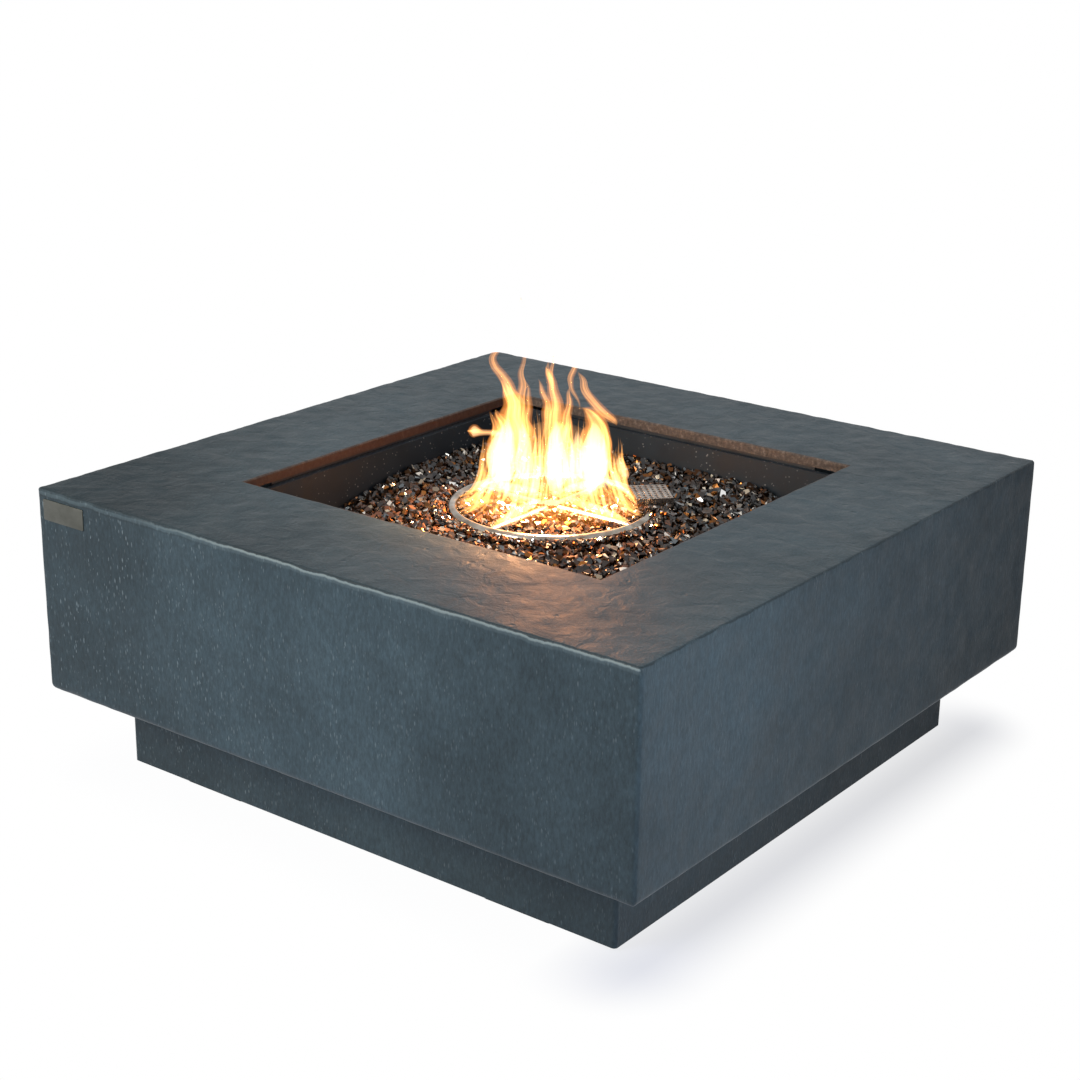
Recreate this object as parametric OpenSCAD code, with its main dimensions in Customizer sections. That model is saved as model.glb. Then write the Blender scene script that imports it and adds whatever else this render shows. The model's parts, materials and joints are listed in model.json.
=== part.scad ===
/* [Table] */
// Outer width of the square table
table_w = 1067; // [1000:1:1200]
// Height of the top face above the floor
table_h = 445; // [425:1:500]

/* [Cast shell] */
// Height of the cast block, from its bottom hem to the top face
block_h = 318; // [300:1:340]
// Thickness of the block's four walls
wall_t = 16; // [13:0.5:22]
// Thickness of the top slab
slab_t = 15; // [12:0.5:20]
// Width of the square fire opening
opening_w = 646; // [620:1:690]
// Radius of the upright corners
corner_r = 6; // [5:0.5:14]
// Radius of the top rim
rim_r = 4; // [2:0.5:6]
// Radius of the bottom hem
hem_r = 12; // [6:0.5:15]
// Chamfer round the top of the opening
mouth_c = 2; // [1:0.5:4]

/* [Plinth and feet] */
// How far the plinth stands back from the block's face
plinth_inset = 84; // [70:1:95]
// Wall thickness of the plinth
plinth_t = 18; // [14:0.5:24]
// Width of the plinth's inward top flange
flange_w = 62; // [50:1:80]
// Thickness of that flange
flange_t = 18; // [14:0.5:24]
// Radius of the plinth's upright corners
plinth_r = 6; // [3:0.5:10]
// Length of a foot pad
pad_l = 118; // [80:1:150]
// Width of a foot pad
pad_w = 44; // [30:1:60]
// Thickness of a foot pad
pad_t = 5; // [3:0.5:10]
// Radius of a foot pad's corners
pad_r = 8; // [4:0.5:14]
// Distance of the pads' centres from the middle of the side
pad_x = 284; // [200:1:340]
// Set-back of the pads from the plinth's face
pad_inset = 6; // [2:1:12]

/* [Steel frame] */
// Side of the square frame tubes
tube_s = 25; // [20:1:30]
// Wall of the frame tubes
tube_t = 2; // [1.5:0.1:3]
// Leg length of the shell brackets
bracket_l = 45; // [36:1:60]
// Thickness of the shell brackets
bracket_t = 4; // [3:0.5:6]
// Distance of a bracket's bolts from its corner
bracket_bolt = 27; // [20:1:29]
// Diameter of the frame bolts and studs
bolt_d = 8; // [6:1:10]
// Width across the flats of their heads and nuts
bolt_af = 13; // [11:1:16]
// Height of their heads and nuts
bolt_k = 6; // [5:0.5:8]
// Distance of the plinth bolts from the middle of the side
plinth_bolt_x = 250; // [150:1:330]

/* [Burner pan] */
// Gap between the pan's flange and the opening
pan_gap = 3; // [2:0.5:5]
// Width of the pan's flange
pan_flange_w = 9; // [8:0.5:14]
// Sheet thickness of the pan
pan_t = 1.5; // [1:0.1:2.5]
// Depth of the pan from its flange to its floor
pan_depth = 86; // [80:1:100]
// How far each pan wall leans in at the floor
pan_lean = 11; // [4:1:20]
// Drop from the slab's underside to the pan's flange
pan_drop = 4; // [3.5:0.5:8]
// Thickness of the rails that carry the pan
rail_t = 3; // [2:0.5:4]
// Width of a rail's top leg
rail_leg = 36; // [30:1:45]
// Free length left at each end of a rail
rail_end = 60; // [50:1:90]
// Diameter of the rail studs
stud_d = 6; // [5:1:8]
// Width across the flats of the rail nuts
stud_af = 10; // [8:1:13]
// Height of the rail nuts
stud_k = 5; // [4:0.5:7]
// Free length of a rail stud below the slab
stud_l = 14; // [12:1:20]
// Diameter of the pan's drain holes
drain_d = 10; // [6:1:14]
// Distance of the drain holes from the pan's middle lines
drain_x = 215; // [190:1:250]

/* [Fire glass] */
// Height of the bed above the pan floor
bed_h = 38; // [33:1:39]
// Spacing of the chips on the bed
chip_pitch = 26; // [25:1:40]
// Largest half-width of a chip
chip_r = 12; // [8:0.5:12]
// Greatest thickness of a chip
chip_h = 11; // [6:0.5:13]

/* [Burner] */
// Radius of the ring's centreline
ring_r = 150; // [135:1:175]
// Outer diameter of the ring tube
ring_d = 16; // [14.5:0.5:18]
// Wall of the burner tubes
burner_t = 1.2; // [1:0.1:2]
// Height of the ring's centreline above the pan floor
ring_h = 51; // [50:1:56]
// Outer diameter of the cross tubes
cross_d = 14; // [10:0.5:14]
// Diameter of the gas ports
port_d = 2.6; // [1.6:0.1:3.2]
// Gas ports in each quarter of the ring
ring_ports = 9; // [6:1:14]
// Gas ports along each side of a cross tube
cross_ports = 5; // [3:1:8]
// Lean of the ring's ports towards the middle, from upright
ring_port_lean = 60; // [30:1:80]
// Lean of the cross tubes' ports, from upright
cross_port_lean = 40; // [20:1:70]
// Outer diameter of the hub
hub_d = 28; // [24:1:34]
// Outer diameter of the hub's collar on the pan
hub_collar_d = 42; // [38:1:50]
// Thickness of that collar
hub_collar_t = 6; // [4:0.5:8]
// Outer diameter of the nipple below the pan
nipple_d = 21; // [19:0.5:22]
// Length of the nipple below the pan
nipple_l = 38; // [32:1:44]
// Wall of the hub and nipple
nipple_t = 3; // [2:0.5:4]
// Height of the locknut under the pan
locknut_h = 8; // [6:0.5:10]
// Width across the flats of that locknut
locknut_af = 34; // [32:1:40]
// Diameter of a stand under the ring
stand_d = 10; // [8:0.5:12]
// Direction of the first stand, seen from above
stand_az = 22; // [14:1:24]

/* [Air mixer] */
// Outer diameter of the mixer tube
mixer_d = 30; // [28:1:36]
// Length of the mixer tube
mixer_l = 66; // [60:1:80]
// Overlap of the mixer on the nipple
mixer_grip = 20; // [12:1:24]
// Width of an air slot
slot_w = 8; // [5:0.5:10]
// Height of an air slot
slot_h = 22; // [14:1:26]
// Thickness of the mixer's bottom
mixer_floor = 6; // [4:0.5:8]
// Diameter of the orifice's spud
spud_d = 12; // [9:0.5:14]
// Height that the spud stands inside the mixer
spud_h = 8; // [5:0.5:12]
// Bore of the orifice
jet_d = 2; // [1:0.1:3]
// Width across the flats of the orifice's hexagon and the hose nuts
flare_af = 19; // [17:1:22]
// Height of the orifice's hexagon
flare_k = 12; // [8:0.5:14]
// Diameter of the stubs that the hose is fitted to
stub_d = 14; // [12:0.5:15]
// Length of those stubs
stub_l = 14; // [12:0.5:20]
// Grip of a hose nut on each side of the joint
nut_grip = 8; // [6:0.5:10]

/* [Igniter guard] */
// Direction of the guard from the middle, seen from above
guard_az = 45; // [40:1:50]
// How far the guard's middle stands outside the ring's centreline
guard_out = 2; // [-1:0.5:5]
// Radial side of the guard
guard_l = 56; // [54:1:64]
// Side of the guard along the ring
guard_w = 66; // [60:1:76]
// Height of the guard above the pan floor
guard_h = 72; // [70:1:84]
// Sheet thickness of the guard
guard_t = 1; // [0.8:0.1:1.5]
// Diameter of the guard's holes
perf_d = 5.5; // [3:0.5:6]
// Pitch of the guard's holes
perf_pitch = 9; // [8:0.5:12]
// Gap round the ring where it passes the guard
notch_gap = 2.5; // [1.5:0.5:3]
// How far the pilot parts stand inside the guard's middle
pilot_in = 19; // [18:0.5:20]
// Spacing of the electrode and the thermocouple
pilot_w = 22; // [18:1:30]
// Height of the pilot bracket's shelf above the pan floor
pilot_shelf = 32; // [24:1:40]
// Depth of the pilot bracket
pilot_depth = 13; // [11:0.5:14]
// Sheet thickness of the pilot bracket
pilot_t = 1.5; // [1:0.1:2]
// Diameter of the electrode's insulator
insulator_d = 7; // [5:0.5:8]
// Diameter of the electrode's wire
electrode_d = 2.4; // [1.6:0.1:3]
// Diameter of the thermocouple
thermocouple_d = 6; // [4.5:0.5:7]
// Diameter of the thermocouple's tip
tip_d = 4.2; // [3:0.1:4.4]
// Length of the pilot parts below the pan's underside
pilot_tail = 7; // [5:1:12]

/* [Control tray] */
// Depth of the controls below the top face
control_drop = 155; // [130:1:165]
// Inner width of the tray
tray_w = 190; // [180:1:220]
// Inner height of the tray
tray_h = 96; // [80:1:110]
// Depth of the tray from the wall's face
tray_depth = 36.5; // [36:0.5:45]
// Sheet thickness of the tray
tray_t = 1.5; // [1:0.1:2]
// Width of the tray's flange
tray_flange = 12; // [8:1:16]

/* [Gas valve] */
// Sideways place of the valve
valve_x = -42; // [-50:1:-38]
// Diameter of the valve's stem
stem_d = 8; // [6:0.5:10]
// How far the knob is pushed in before it turns
push_travel = 4; // [3:0.5:5]
// Diameter of the knob's skirt
knob_d = 44; // [38:1:48]
// Diameter of the knob's grip
grip_d = 36; // [30:1:38]
// Height of the knob
knob_h = 26; // [22:0.5:27]
// Thickness of the knob's skirt
skirt_h = 6; // [4:0.5:8]
// Number of flutes round the knob's grip
flutes = 18; // [12:1:24]
// Diameter of a flute
flute_d = 3; // [2:0.5:4]
// Rounding of the knob's front edge
knob_edge_r = 3; // [1:0.5:4]
// Width of the pointer rib on the knob
pointer_w = 2; // [1:0.5:4]
// Gap between the knob and the tray
knob_gap = 5.5; // [5.2:0.1:6]
// Length of the valve's flange
valve_flange_l = 72; // [66:1:78]
// Width of the valve's flange
valve_flange_w = 24; // [20:1:30]
// Thickness of the valve's flange
valve_flange_t = 5; // [4:0.5:7]
// Spacing of the valve's two screws
valve_screw_w = 58; // [54:1:62]
// Diameter of the valve's screws
valve_screw_d = 4; // [3:0.5:5]
// Diameter of their heads
valve_head_d = 7; // [6:0.5:9]
// Height of their heads
valve_head_h = 2.4; // [1.6:0.2:3]
// Diameter of the valve's bonnet
bonnet_d = 24; // [22:0.5:28]
// Length of the valve's bonnet
bonnet_l = 20; // [18:0.5:26]
// Diameter of the valve's body
valve_d = 30; // [26:1:36]
// Length of the valve's body
valve_l = 34; // [30:1:40]
// Diameter of the valve's inlet boss
valve_in_d = 18; // [14:1:20]
// Length of the inlet boss below the body
valve_in_l = 18; // [12:1:24]
// Diameter of the thermocouple boss
probe_d = 12; // [9:1:14]
// Length of the thermocouple boss
probe_l = 10; // [8:1:14]
// Diameter of the collar that the return spring bears on
collar_d = 17; // [14:0.5:19]
// Thickness of that collar
collar_t = 3; // [2:0.5:4]
// Cover of the bonnet in front of the collar
collar_cover = 2; // [1:0.5:3]
// Length of the return spring when the stem is pushed in
spring_l = 4; // [3:0.5:6]
// Wire of the return spring
stem_wire_d = 1; // [0.6:0.1:1.2]
// Depth of the stem in the valve's body
stem_depth = 9; // [6:0.5:14]
// Length of the stem in the knob
stem_reach = 18; // [12:0.5:20]
// Height of the stem's flat above its axis
stem_flat_z = 2.4; // [1.6:0.1:2.8]

/* [Push igniter] */
// Sideways place of the igniter
igniter_x = 50; // [44:1:60]
// Diameter of the igniter's body
igniter_d = 24; // [22:0.5:28]
// Length of the igniter's body
igniter_l = 66; // [64:1:76]
// Wall behind the battery
igniter_back = 4; // [3:0.5:6]
// Diameter of the igniter's neck
neck_d = 20; // [18.5:0.5:20.5]
// Length of the neck in front of the tray's panel
neck_l = 7; // [6:0.5:9]
// Bore of the igniter's body
igniter_bore = 16.6; // [16.2:0.1:17]
// Diameter of the button's shaft
button_d = 14; // [12:0.5:14.5]
// How far the button is pushed
button_travel = 5; // [3:0.5:5.5]
// Diameter of the button's cap
cap_d = 19; // [16:0.5:22]
// Thickness of the button's cap
cap_h = 6; // [4:0.5:8]
// Rounding of the cap's edge
cap_edge_r = 2; // [1:0.5:3]
// Thickness of the shoulder that keeps the button in
shoulder_t = 4; // [2:0.5:5]
// Diameter of that shoulder
shoulder_d = 16; // [15.5:0.1:16.2]
// Diameter of the igniter's ring nut
igniter_nut_d = 30; // [26:1:34]
// Thickness of the ring nut
igniter_nut_t = 5; // [3:0.5:6]
// Diameter of the button's spring
button_coil_d = 11; // [9:0.5:12]
// Wire of the button's spring
button_wire_d = 0.8; // [0.5:0.1:1]
// Diameter of the battery
battery_d = 14.2; // [13:0.1:14.5]
// Length of the battery
battery_l = 48; // [46:0.5:50]

/* [Gas lines] */
// Height of the gas inlet above the middle of the plinth's wall
inlet_rise = 3; // [0:0.5:8]
// Diameter of the inlet's outer stub
inlet_d = 15.8; // [12:0.1:16]
// Length of the inlet's outer stub
inlet_l = 18; // [12:0.5:22]
// Diameter of the inlet's barrel through the plinth
barrel_d = 19.8; // [18:0.2:22]
// Width across the flats of the inlet's hexagons
inlet_af = 26; // [24:1:30]
// Thickness of the inlet's hexagons
inlet_k = 8; // [6:0.5:10]
// Length of the inlet's barrel inside the plinth
barrel_l = 10; // [9:0.5:14]
// Diameter of the inlet's tail
tail_d = 12; // [11:0.5:14]
// Length of the inlet's tail
tail_l = 8; // [6:0.5:12]
// Bore of the gas fittings
gas_bore = 6; // [4:0.5:7]
// Diameter of the tube from the inlet to the valve
inlet_tube_d = 10; // [8:0.5:11]
// Diameter of the hose from the valve to the burner
hose_d = 13; // [10:0.5:14]
// Diameter of the two leads
lead_d = 3; // [2:0.5:4]

/* [Hidden] */
$fn = 64;
fit = 0.05;
clear = 0.3;
loose = 1;
cut = 1;
half = table_w / 2;
inner_half = half - wall_t;
block_z = table_h - block_h;
slab_z = table_h - slab_t;
plinth_half = half - plinth_inset;
opening_half = opening_w / 2;

// The frame's bars run over the middle of the plinth's flange
bar = plinth_half - flange_w / 2;
bar_end = inner_half - loose;
frame_top = block_z + tube_s;

// The pan hangs by its flange on the rails' ledges
pan_top = slab_z - pan_drop;
pan_floor = pan_top - pan_depth;
pan_mouth = opening_half - pan_gap - pan_flange_w;
ledge_z = pan_top - pan_t;
ledge_in = pan_mouth + pan_t + loose;
web_out = opening_half + 2 * rail_t;
rail_out = web_out - rail_t + rail_leg;
rail_half = opening_half - rail_end;
stud_u = (web_out + rail_out) / 2;
stud_steps = [-1, 0, 1];
function pan_half(z) = pan_mouth - pan_lean * (pan_top - z) / pan_depth;

// Bed and burner heights, and the places of what stands under the guard
bed_top = pan_floor + bed_h;
ring_z = pan_floor + ring_h;
hub_r = hub_d / 2;
nipple_end = pan_floor - pan_t - nipple_l;
mixer_top = nipple_end + mixer_grip;
mixer_end = mixer_top - mixer_l;
orifice_end = mixer_end - flare_k - stub_l;
guard_r = ring_r + guard_out;
guard_in = guard_r - guard_l / 2 + guard_t;
pilot_r = guard_r - pilot_in;
pilot_end = pan_floor - pan_t - pilot_tail;
function round_guard(r, side) = [
    r * cos(guard_az) - side * sin(guard_az),
    r * sin(guard_az) + side * cos(guard_az)
];
electrode_xy = round_guard(pilot_r, -pilot_w / 2);
thermocouple_xy = round_guard(pilot_r, pilot_w / 2);

// Depths behind the tray's panel, on the valve's and the igniter's axes
control_z = table_h - control_drop;
panel_front = half - tray_depth;
panel_back = panel_front - tray_t;
bonnet_front = panel_back - valve_flange_t;
body_front = bonnet_front - bonnet_l;
body_back = body_front - valve_l;
outlet_end = body_back - stub_l;
collar_front = bonnet_front - collar_cover;
collar_room = clear + collar_t + push_travel + spring_l;
stem_back = body_front - stem_depth;
stem_room = push_travel + 2 * loose;
knob_back = panel_front + knob_gap;
valve_mid = body_back + valve_l / 2;
valve_in_z = control_z - valve_d / 2 - valve_in_l;
probe_end = valve_x + valve_d / 2 + probe_l;
igniter_end = panel_back - igniter_l;
battery_back = igniter_end + igniter_back;
shoulder_front = panel_back - clear;
shoulder_back = shoulder_front - shoulder_t;
cap_back = panel_front + neck_l + button_travel + 2 * clear;

// Inlet places in the plinth's back wall
inlet_z = (pad_t + block_z - flange_t) / 2 + inlet_rise;
wall_in = plinth_half - plinth_t;
barrel_end = wall_in - barrel_l;
tail_end = barrel_end - tail_l;

// Routes of the lines inside, each leaving straight along its fitting's axis
hose_route = [
    [0, 0, orifice_end],
    [0, 0, orifice_end - 12],
    [0, 0, orifice_end - 24],
    [0, 26, orifice_end - 52],
    [-6, 90, orifice_end - 62],
    [-16, 190, orifice_end - 40],
    [-28, 280, control_z - 40],
    [-38, 350, control_z - 8],
    [valve_x, outlet_end - 24, control_z],
    [valve_x, outlet_end - 12, control_z],
    [valve_x, outlet_end, control_z]
];
inlet_route = [
    [valve_x, tail_end, inlet_z],
    [valve_x, tail_end - 18, inlet_z],
    [valve_x, 364, inlet_z + 12],
    [valve_x, 350, inlet_z + 40],
    [valve_x, 350, inlet_z + 90],
    [valve_x, 362, inlet_z + 128],
    [valve_x, 400, inlet_z + 150],
    [valve_x, valve_mid - 14, valve_in_z - 34],
    [valve_x, valve_mid, valve_in_z - 14],
    [valve_x, valve_mid, valve_in_z]
];
thermocouple_route = [
    [thermocouple_xy[0], thermocouple_xy[1], pilot_end],
    [thermocouple_xy[0], thermocouple_xy[1], pilot_end - 12],
    [84, 130, pilot_end - 30],
    [72, 220, control_z + 6],
    [46, 310, control_z + 2],
    [26, 380, control_z],
    [14, 430, control_z],
    [probe_end + 14, valve_mid, control_z],
    [probe_end, valve_mid, control_z]
];
ignition_route = [
    [electrode_xy[0], electrode_xy[1], pilot_end],
    [electrode_xy[0], electrode_xy[1], pilot_end - 12],
    [102, 116, pilot_end - 30],
    [96, 210, control_z - 4],
    [80, 300, control_z - 4],
    [60, 370, control_z],
    [igniter_x, igniter_end - 16, control_z],
    [igniter_x, igniter_end, control_z]
];
route_steps = 5;

function unit(v) = v / norm(v);

// A smooth curve through hand-placed points
function between(a, b, c, d, t) =
    (2 * b + (c - a) * t + (2 * a - 5 * b + 4 * c - d) * t * t + (3 * b - a - 3 * c + d) * t * t * t) / 2;
function padded(p) = concat([2 * p[0] - p[1]], p, [2 * p[len(p) - 1] - p[len(p) - 2]]);
function smooth(p, q) = concat(
    [for (i = [1:len(p) - 1], s = [0:route_steps - 1])
        between(q[i - 1], q[i], q[i + 1], q[i + 2], s / route_steps)],
    [p[len(p) - 1]]
);

// Directions along a curve, and a sideways vector carried along them without twist
function directions(p, first, last) = [
    for (i = [0:len(p) - 1])
        i == 0 ? first : i == len(p) - 1 ? last : unit(p[i + 1] - p[i - 1])
];
function carried(d, i, side) =
    i == len(d) ? [] :
    let (s = unit(side - (side * d[i]) * d[i]))
    concat([s], carried(d, i + 1, s));

// A round tube along a curve, closed at both ends
module swept(p, first, last, r, sides) {
    d = directions(p, first, last);
    start = abs(first[0]) < 0.9 ? [1, 0, 0] : [0, 1, 0];
    s = carried(d, 0, start);
    rings = len(p);
    points = [
        for (i = [0:rings - 1], k = [0:sides - 1])
            let (a = 360 * k / sides)
            p[i] + r * (cos(a) * s[i] + sin(a) * cross(d[i], s[i]))
    ];
    walls = [
        for (i = [0:rings - 2], k = [0:sides - 1], upper = [0, 1])
            let (n = (k + 1) % sides)
            upper == 0
                ? [i * sides + k, (i + 1) * sides + k, (i + 1) * sides + n]
                : [i * sides + k, (i + 1) * sides + n, i * sides + n]
    ];
    first_cap = [for (k = [0:sides - 1]) k];
    last_cap = [for (k = [sides - 1:-1:0]) (rings - 1) * sides + k];
    polyhedron(points, concat([first_cap], walls, [last_cap]));
}
module line_along(route, d, sides) {
    ends = len(route) - 1;
    swept(
        smooth(route, padded(route)),
        unit(route[1] - route[0]),
        unit(route[ends] - route[ends - 1]),
        d / 2,
        sides
    );
}

// A coil spring along +Y between two faces
spring_turns = 5;
turn_rings = 10;
module coil(y0, y1, coil_d, wire_d) {
    rings = spring_turns * turn_rings;
    rise = y1 - y0 - 2 * wire_d;
    p = [
        for (i = [0:rings])
            let (a = 360 * i / turn_rings)
            [coil_d / 2 * cos(a), y0 + wire_d + rise * i / rings, coil_d / 2 * sin(a)]
    ];
    swept(p, unit(p[1] - p[0]), unit(p[rings] - p[rings - 1]), wire_d / 2, 6);
}

// Plain shapes used by several pieces
module round_square(w, r) {
    square([w, w - 2 * r], center = true);
    square([w - 2 * r, w], center = true);
    for (x = [-1, 1], y = [-1, 1])
        translate([x * (w / 2 - r), y * (w / 2 - r)]) circle(r);
}
module side_view(w, h, low_r, high_r) {
    translate([-w / 2, low_r]) square([w, h - low_r - high_r]);
    translate([low_r - w / 2, 0]) square([w - 2 * low_r, h - high_r]);
    translate([high_r - w / 2, low_r]) square([w - 2 * high_r, h - low_r]);
    for (x = [-1, 1]) {
        translate([x * (w / 2 - low_r), low_r]) circle(low_r);
        translate([x * (w / 2 - high_r), h - high_r]) circle(high_r);
    }
}
module leaning_side(low, high, z0, z1) {
    reach = 2 * max(low, high) + cut;
    rotate([90, 0, 0])
        linear_extrude(reach, center = true)
            polygon([[-low, z0], [low, z0], [high, z1], [-high, z1]]);
}
module square_funnel(low, high, z0, z1) {
    intersection() {
        leaning_side(low, high, z0, z1);
        rotate([0, 0, 90]) leaning_side(low, high, z0, z1);
    }
}
module square_hole(h, z0, z1) {
    translate([-h, -h, z0]) cube([2 * h, 2 * h, z1 - z0]);
}
module y_rod(y0, y1, d) {
    translate([0, y0, 0]) rotate([-90, 0, 0]) cylinder(h = y1 - y0, d = d);
}
module y_hex(y0, y1, af) {
    translate([0, y0, 0]) rotate([-90, 0, 0]) cylinder(h = y1 - y0, d = af / cos(30), $fn = 6);
}
module z_hex(z0, z1, af) {
    translate([0, 0, z0]) cylinder(h = z1 - z0, d = af / cos(30), $fn = 6);
}
module z_rod(z0, z1, d) {
    translate([0, 0, z0]) cylinder(h = z1 - z0, d = d);
}
module torus(r, d) {
    translate([0, 0, ring_z]) rotate_extrude($fn = 128) translate([r, 0]) circle(d = d, $fn = 48);
}

// Cast block: one slab and four walls, rounded more at the hem than at the rim
module concrete_shell() {
    color("slategray")
    difference() {
        intersection() {
            translate([0, 0, block_z]) linear_extrude(block_h) round_square(table_w, corner_r);
            across_block() side_view(table_w, block_h, hem_r, rim_r);
            rotate([0, 0, 90]) across_block() side_view(table_w, block_h, hem_r, rim_r);
        }
        square_hole(inner_half, block_z - cut, slab_z);
        square_hole(opening_half, slab_z - cut, table_h + cut);
        square_funnel(opening_half, opening_half + mouth_c + cut, table_h - mouth_c, table_h + cut);
        translate([0, 0, control_z]) {
            tray_block(tray_t + loose, half - wall_t - cut, half + cut);
            tray_block(tray_flange + loose, half - tray_t, half + cut);
        }
    }
}
module across_block() {
    translate([0, 0, block_z])
        rotate([90, 0, 0])
            linear_extrude(table_w + 2 * cut, center = true) children();
}
module tray_block(grow, y0, y1) {
    translate([-tray_w / 2 - grow, y0, -tray_h / 2 - grow])
        cube([tray_w + 2 * grow, y1 - y0, tray_h + 2 * grow]);
}

// Recessed cast base with an inward flange on top
module plinth() {
    color("dimgray")
    difference() {
        translate([0, 0, pad_t]) linear_extrude(block_z - pad_t) round_square(2 * plinth_half, plinth_r);
        square_hole(plinth_half - plinth_t, pad_t - cut, block_z - flange_t);
        square_hole(plinth_half - flange_w, pad_t - cut, block_z + cut);
        at_plinth_bolts() z_rod(block_z - flange_t - cut, block_z + cut, bolt_d + 2 * clear);
        translate([valve_x, 0, inlet_z]) y_rod(wall_in - cut, plinth_half + cut, barrel_d + 2 * fit);
    }
}
module at_plinth_bolts() {
    for (x = [-1, 1], y = [-1, 1]) translate([x * plinth_bolt_x, y * bar, 0]) children();
}

// Four flat pads under the front and back walls of the plinth
module foot_pads() {
    color("black")
    for (x = [-1, 1], y = [-1, 1])
        translate([x * pad_x, y * (plinth_half - pad_inset - pad_w / 2), 0])
            linear_extrude(pad_t) {
                square([pad_l, pad_w - 2 * pad_r], center = true);
                square([pad_l - 2 * pad_r, pad_w], center = true);
                for (i = [-1, 1], j = [-1, 1])
                    translate([i * (pad_l / 2 - pad_r), j * (pad_w / 2 - pad_r)]) circle(pad_r);
            }
}

// Welded frame of square tubes, laid on the plinth and reaching to the block's walls
module frame_tube(length) {
    difference() {
        translate([-length / 2, -tube_s / 2, 0]) cube([length, tube_s, tube_s]);
        translate([-length / 2 - cut, tube_t - tube_s / 2, tube_t])
            cube([length + 2 * cut, tube_s - 2 * tube_t, tube_s - 2 * tube_t]);
    }
}
module frame_holes() {
    at_plinth_bolts() z_rod(block_z - cut, frame_top + cut, bolt_d + 2 * clear);
    at_brackets()
        translate([-bracket_bolt, 0, 0]) z_rod(frame_top - tube_t - cut, frame_top + cut, bolt_d + 2 * clear);
}
module frame_long_bars() {
    color("#2b2d2f")
    difference() {
        for (y = [-1, 1]) translate([0, y * bar, block_z]) frame_tube(2 * bar_end);
        frame_holes();
    }
}
module frame_cross_bars() {
    middle = 2 * bar - tube_s;
    stub = bar_end - bar - tube_s / 2;
    color("#2b2d2f")
    difference() {
        for (x = [-1, 1])
            translate([x * bar, 0, block_z])
                rotate([0, 0, 90]) {
                    frame_tube(middle);
                    for (y = [-1, 1]) translate([y * (bar_end - stub / 2), 0, 0]) frame_tube(stub);
                }
        frame_holes();
    }
}

// Places of the brackets: both ends of every bar, at the block's inner faces
module at_brackets() {
    for (a = [0:90:270], s = [-1, 1])
        rotate([0, 0, a]) translate([inner_half, s * bar, 0]) children();
}
module shell_brackets() {
    color("#2b2d2f")
    at_brackets()
        difference() {
            union() {
                translate([-bracket_l, -tube_s / 2, frame_top]) cube([bracket_l, tube_s, bracket_t]);
                translate([-bracket_t, -tube_s / 2, frame_top]) cube([bracket_t, tube_s, bracket_l]);
            }
            translate([-bracket_bolt, 0, 0])
                z_rod(frame_top - cut, frame_top + bracket_t + cut, bolt_d + 2 * clear);
            translate([-bracket_t - cut, 0, frame_top + bracket_bolt])
                rotate([0, 90, 0]) cylinder(h = bracket_t + 2 * cut, d = bolt_d + 2 * clear);
        }
}
module bracket_bolts() {
    color("silver")
    at_brackets()
        translate([-bracket_bolt, 0, 0]) {
            z_hex(frame_top + bracket_t, frame_top + bracket_t + bolt_k, bolt_af);
            z_rod(frame_top - tube_s / 2, frame_top + bracket_t, bolt_d);
        }
}
module bracket_nuts() {
    free = bracket_t + bolt_k + loose;
    color("silver")
    at_brackets()
        translate([0, 0, frame_top + bracket_bolt])
            rotate([0, -90, 0]) {
                z_rod(0, free, bolt_d);
                difference() {
                    z_hex(bracket_t, bracket_t + bolt_k, bolt_af);
                    z_rod(bracket_t - cut, bracket_t + bolt_k + cut, bolt_d + 2 * fit);
                }
            }
}
module plinth_bolts() {
    flange_z = block_z - flange_t;
    color("silver")
    at_plinth_bolts() {
        z_hex(frame_top, frame_top + bolt_k, bolt_af);
        z_rod(flange_z - bolt_k - loose, frame_top, bolt_d);
        difference() {
            z_hex(flange_z - bolt_k, flange_z, bolt_af);
            z_rod(flange_z - bolt_k - cut, flange_z + cut, bolt_d + 2 * fit);
        }
    }
}

// Folded rails under the slab whose inner ledges carry the pan
module pan_rails() {
    color("#2b2d2f")
    at_sides()
        difference() {
            translate([0, rail_half, 0])
                rotate([90, 0, 0])
                    linear_extrude(2 * rail_half)
                        polygon([
                            [ledge_in, ledge_z - rail_t],
                            [web_out, ledge_z - rail_t],
                            [web_out, slab_z - rail_t],
                            [rail_out, slab_z - rail_t],
                            [rail_out, slab_z],
                            [web_out - rail_t, slab_z],
                            [web_out - rail_t, ledge_z],
                            [ledge_in, ledge_z]
                        ]);
            at_studs() z_rod(slab_z - rail_t - cut, slab_z + cut, stud_d + 2 * clear);
        }
}
module at_sides() {
    for (a = [0:90:270]) rotate([0, 0, a]) children();
}
module at_studs() {
    for (s = stud_steps) translate([stud_u, s * (rail_half - rail_leg), 0]) children();
}
module rail_nuts() {
    nut_z = slab_z - rail_t;
    color("silver")
    at_sides()
        at_studs() {
            z_rod(slab_z - stud_l, slab_z, stud_d);
            difference() {
                z_hex(nut_z - stud_k, nut_z, stud_af);
                z_rod(nut_z - stud_k - cut, nut_z + cut, stud_d + 2 * fit);
            }
        }
}

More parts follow.
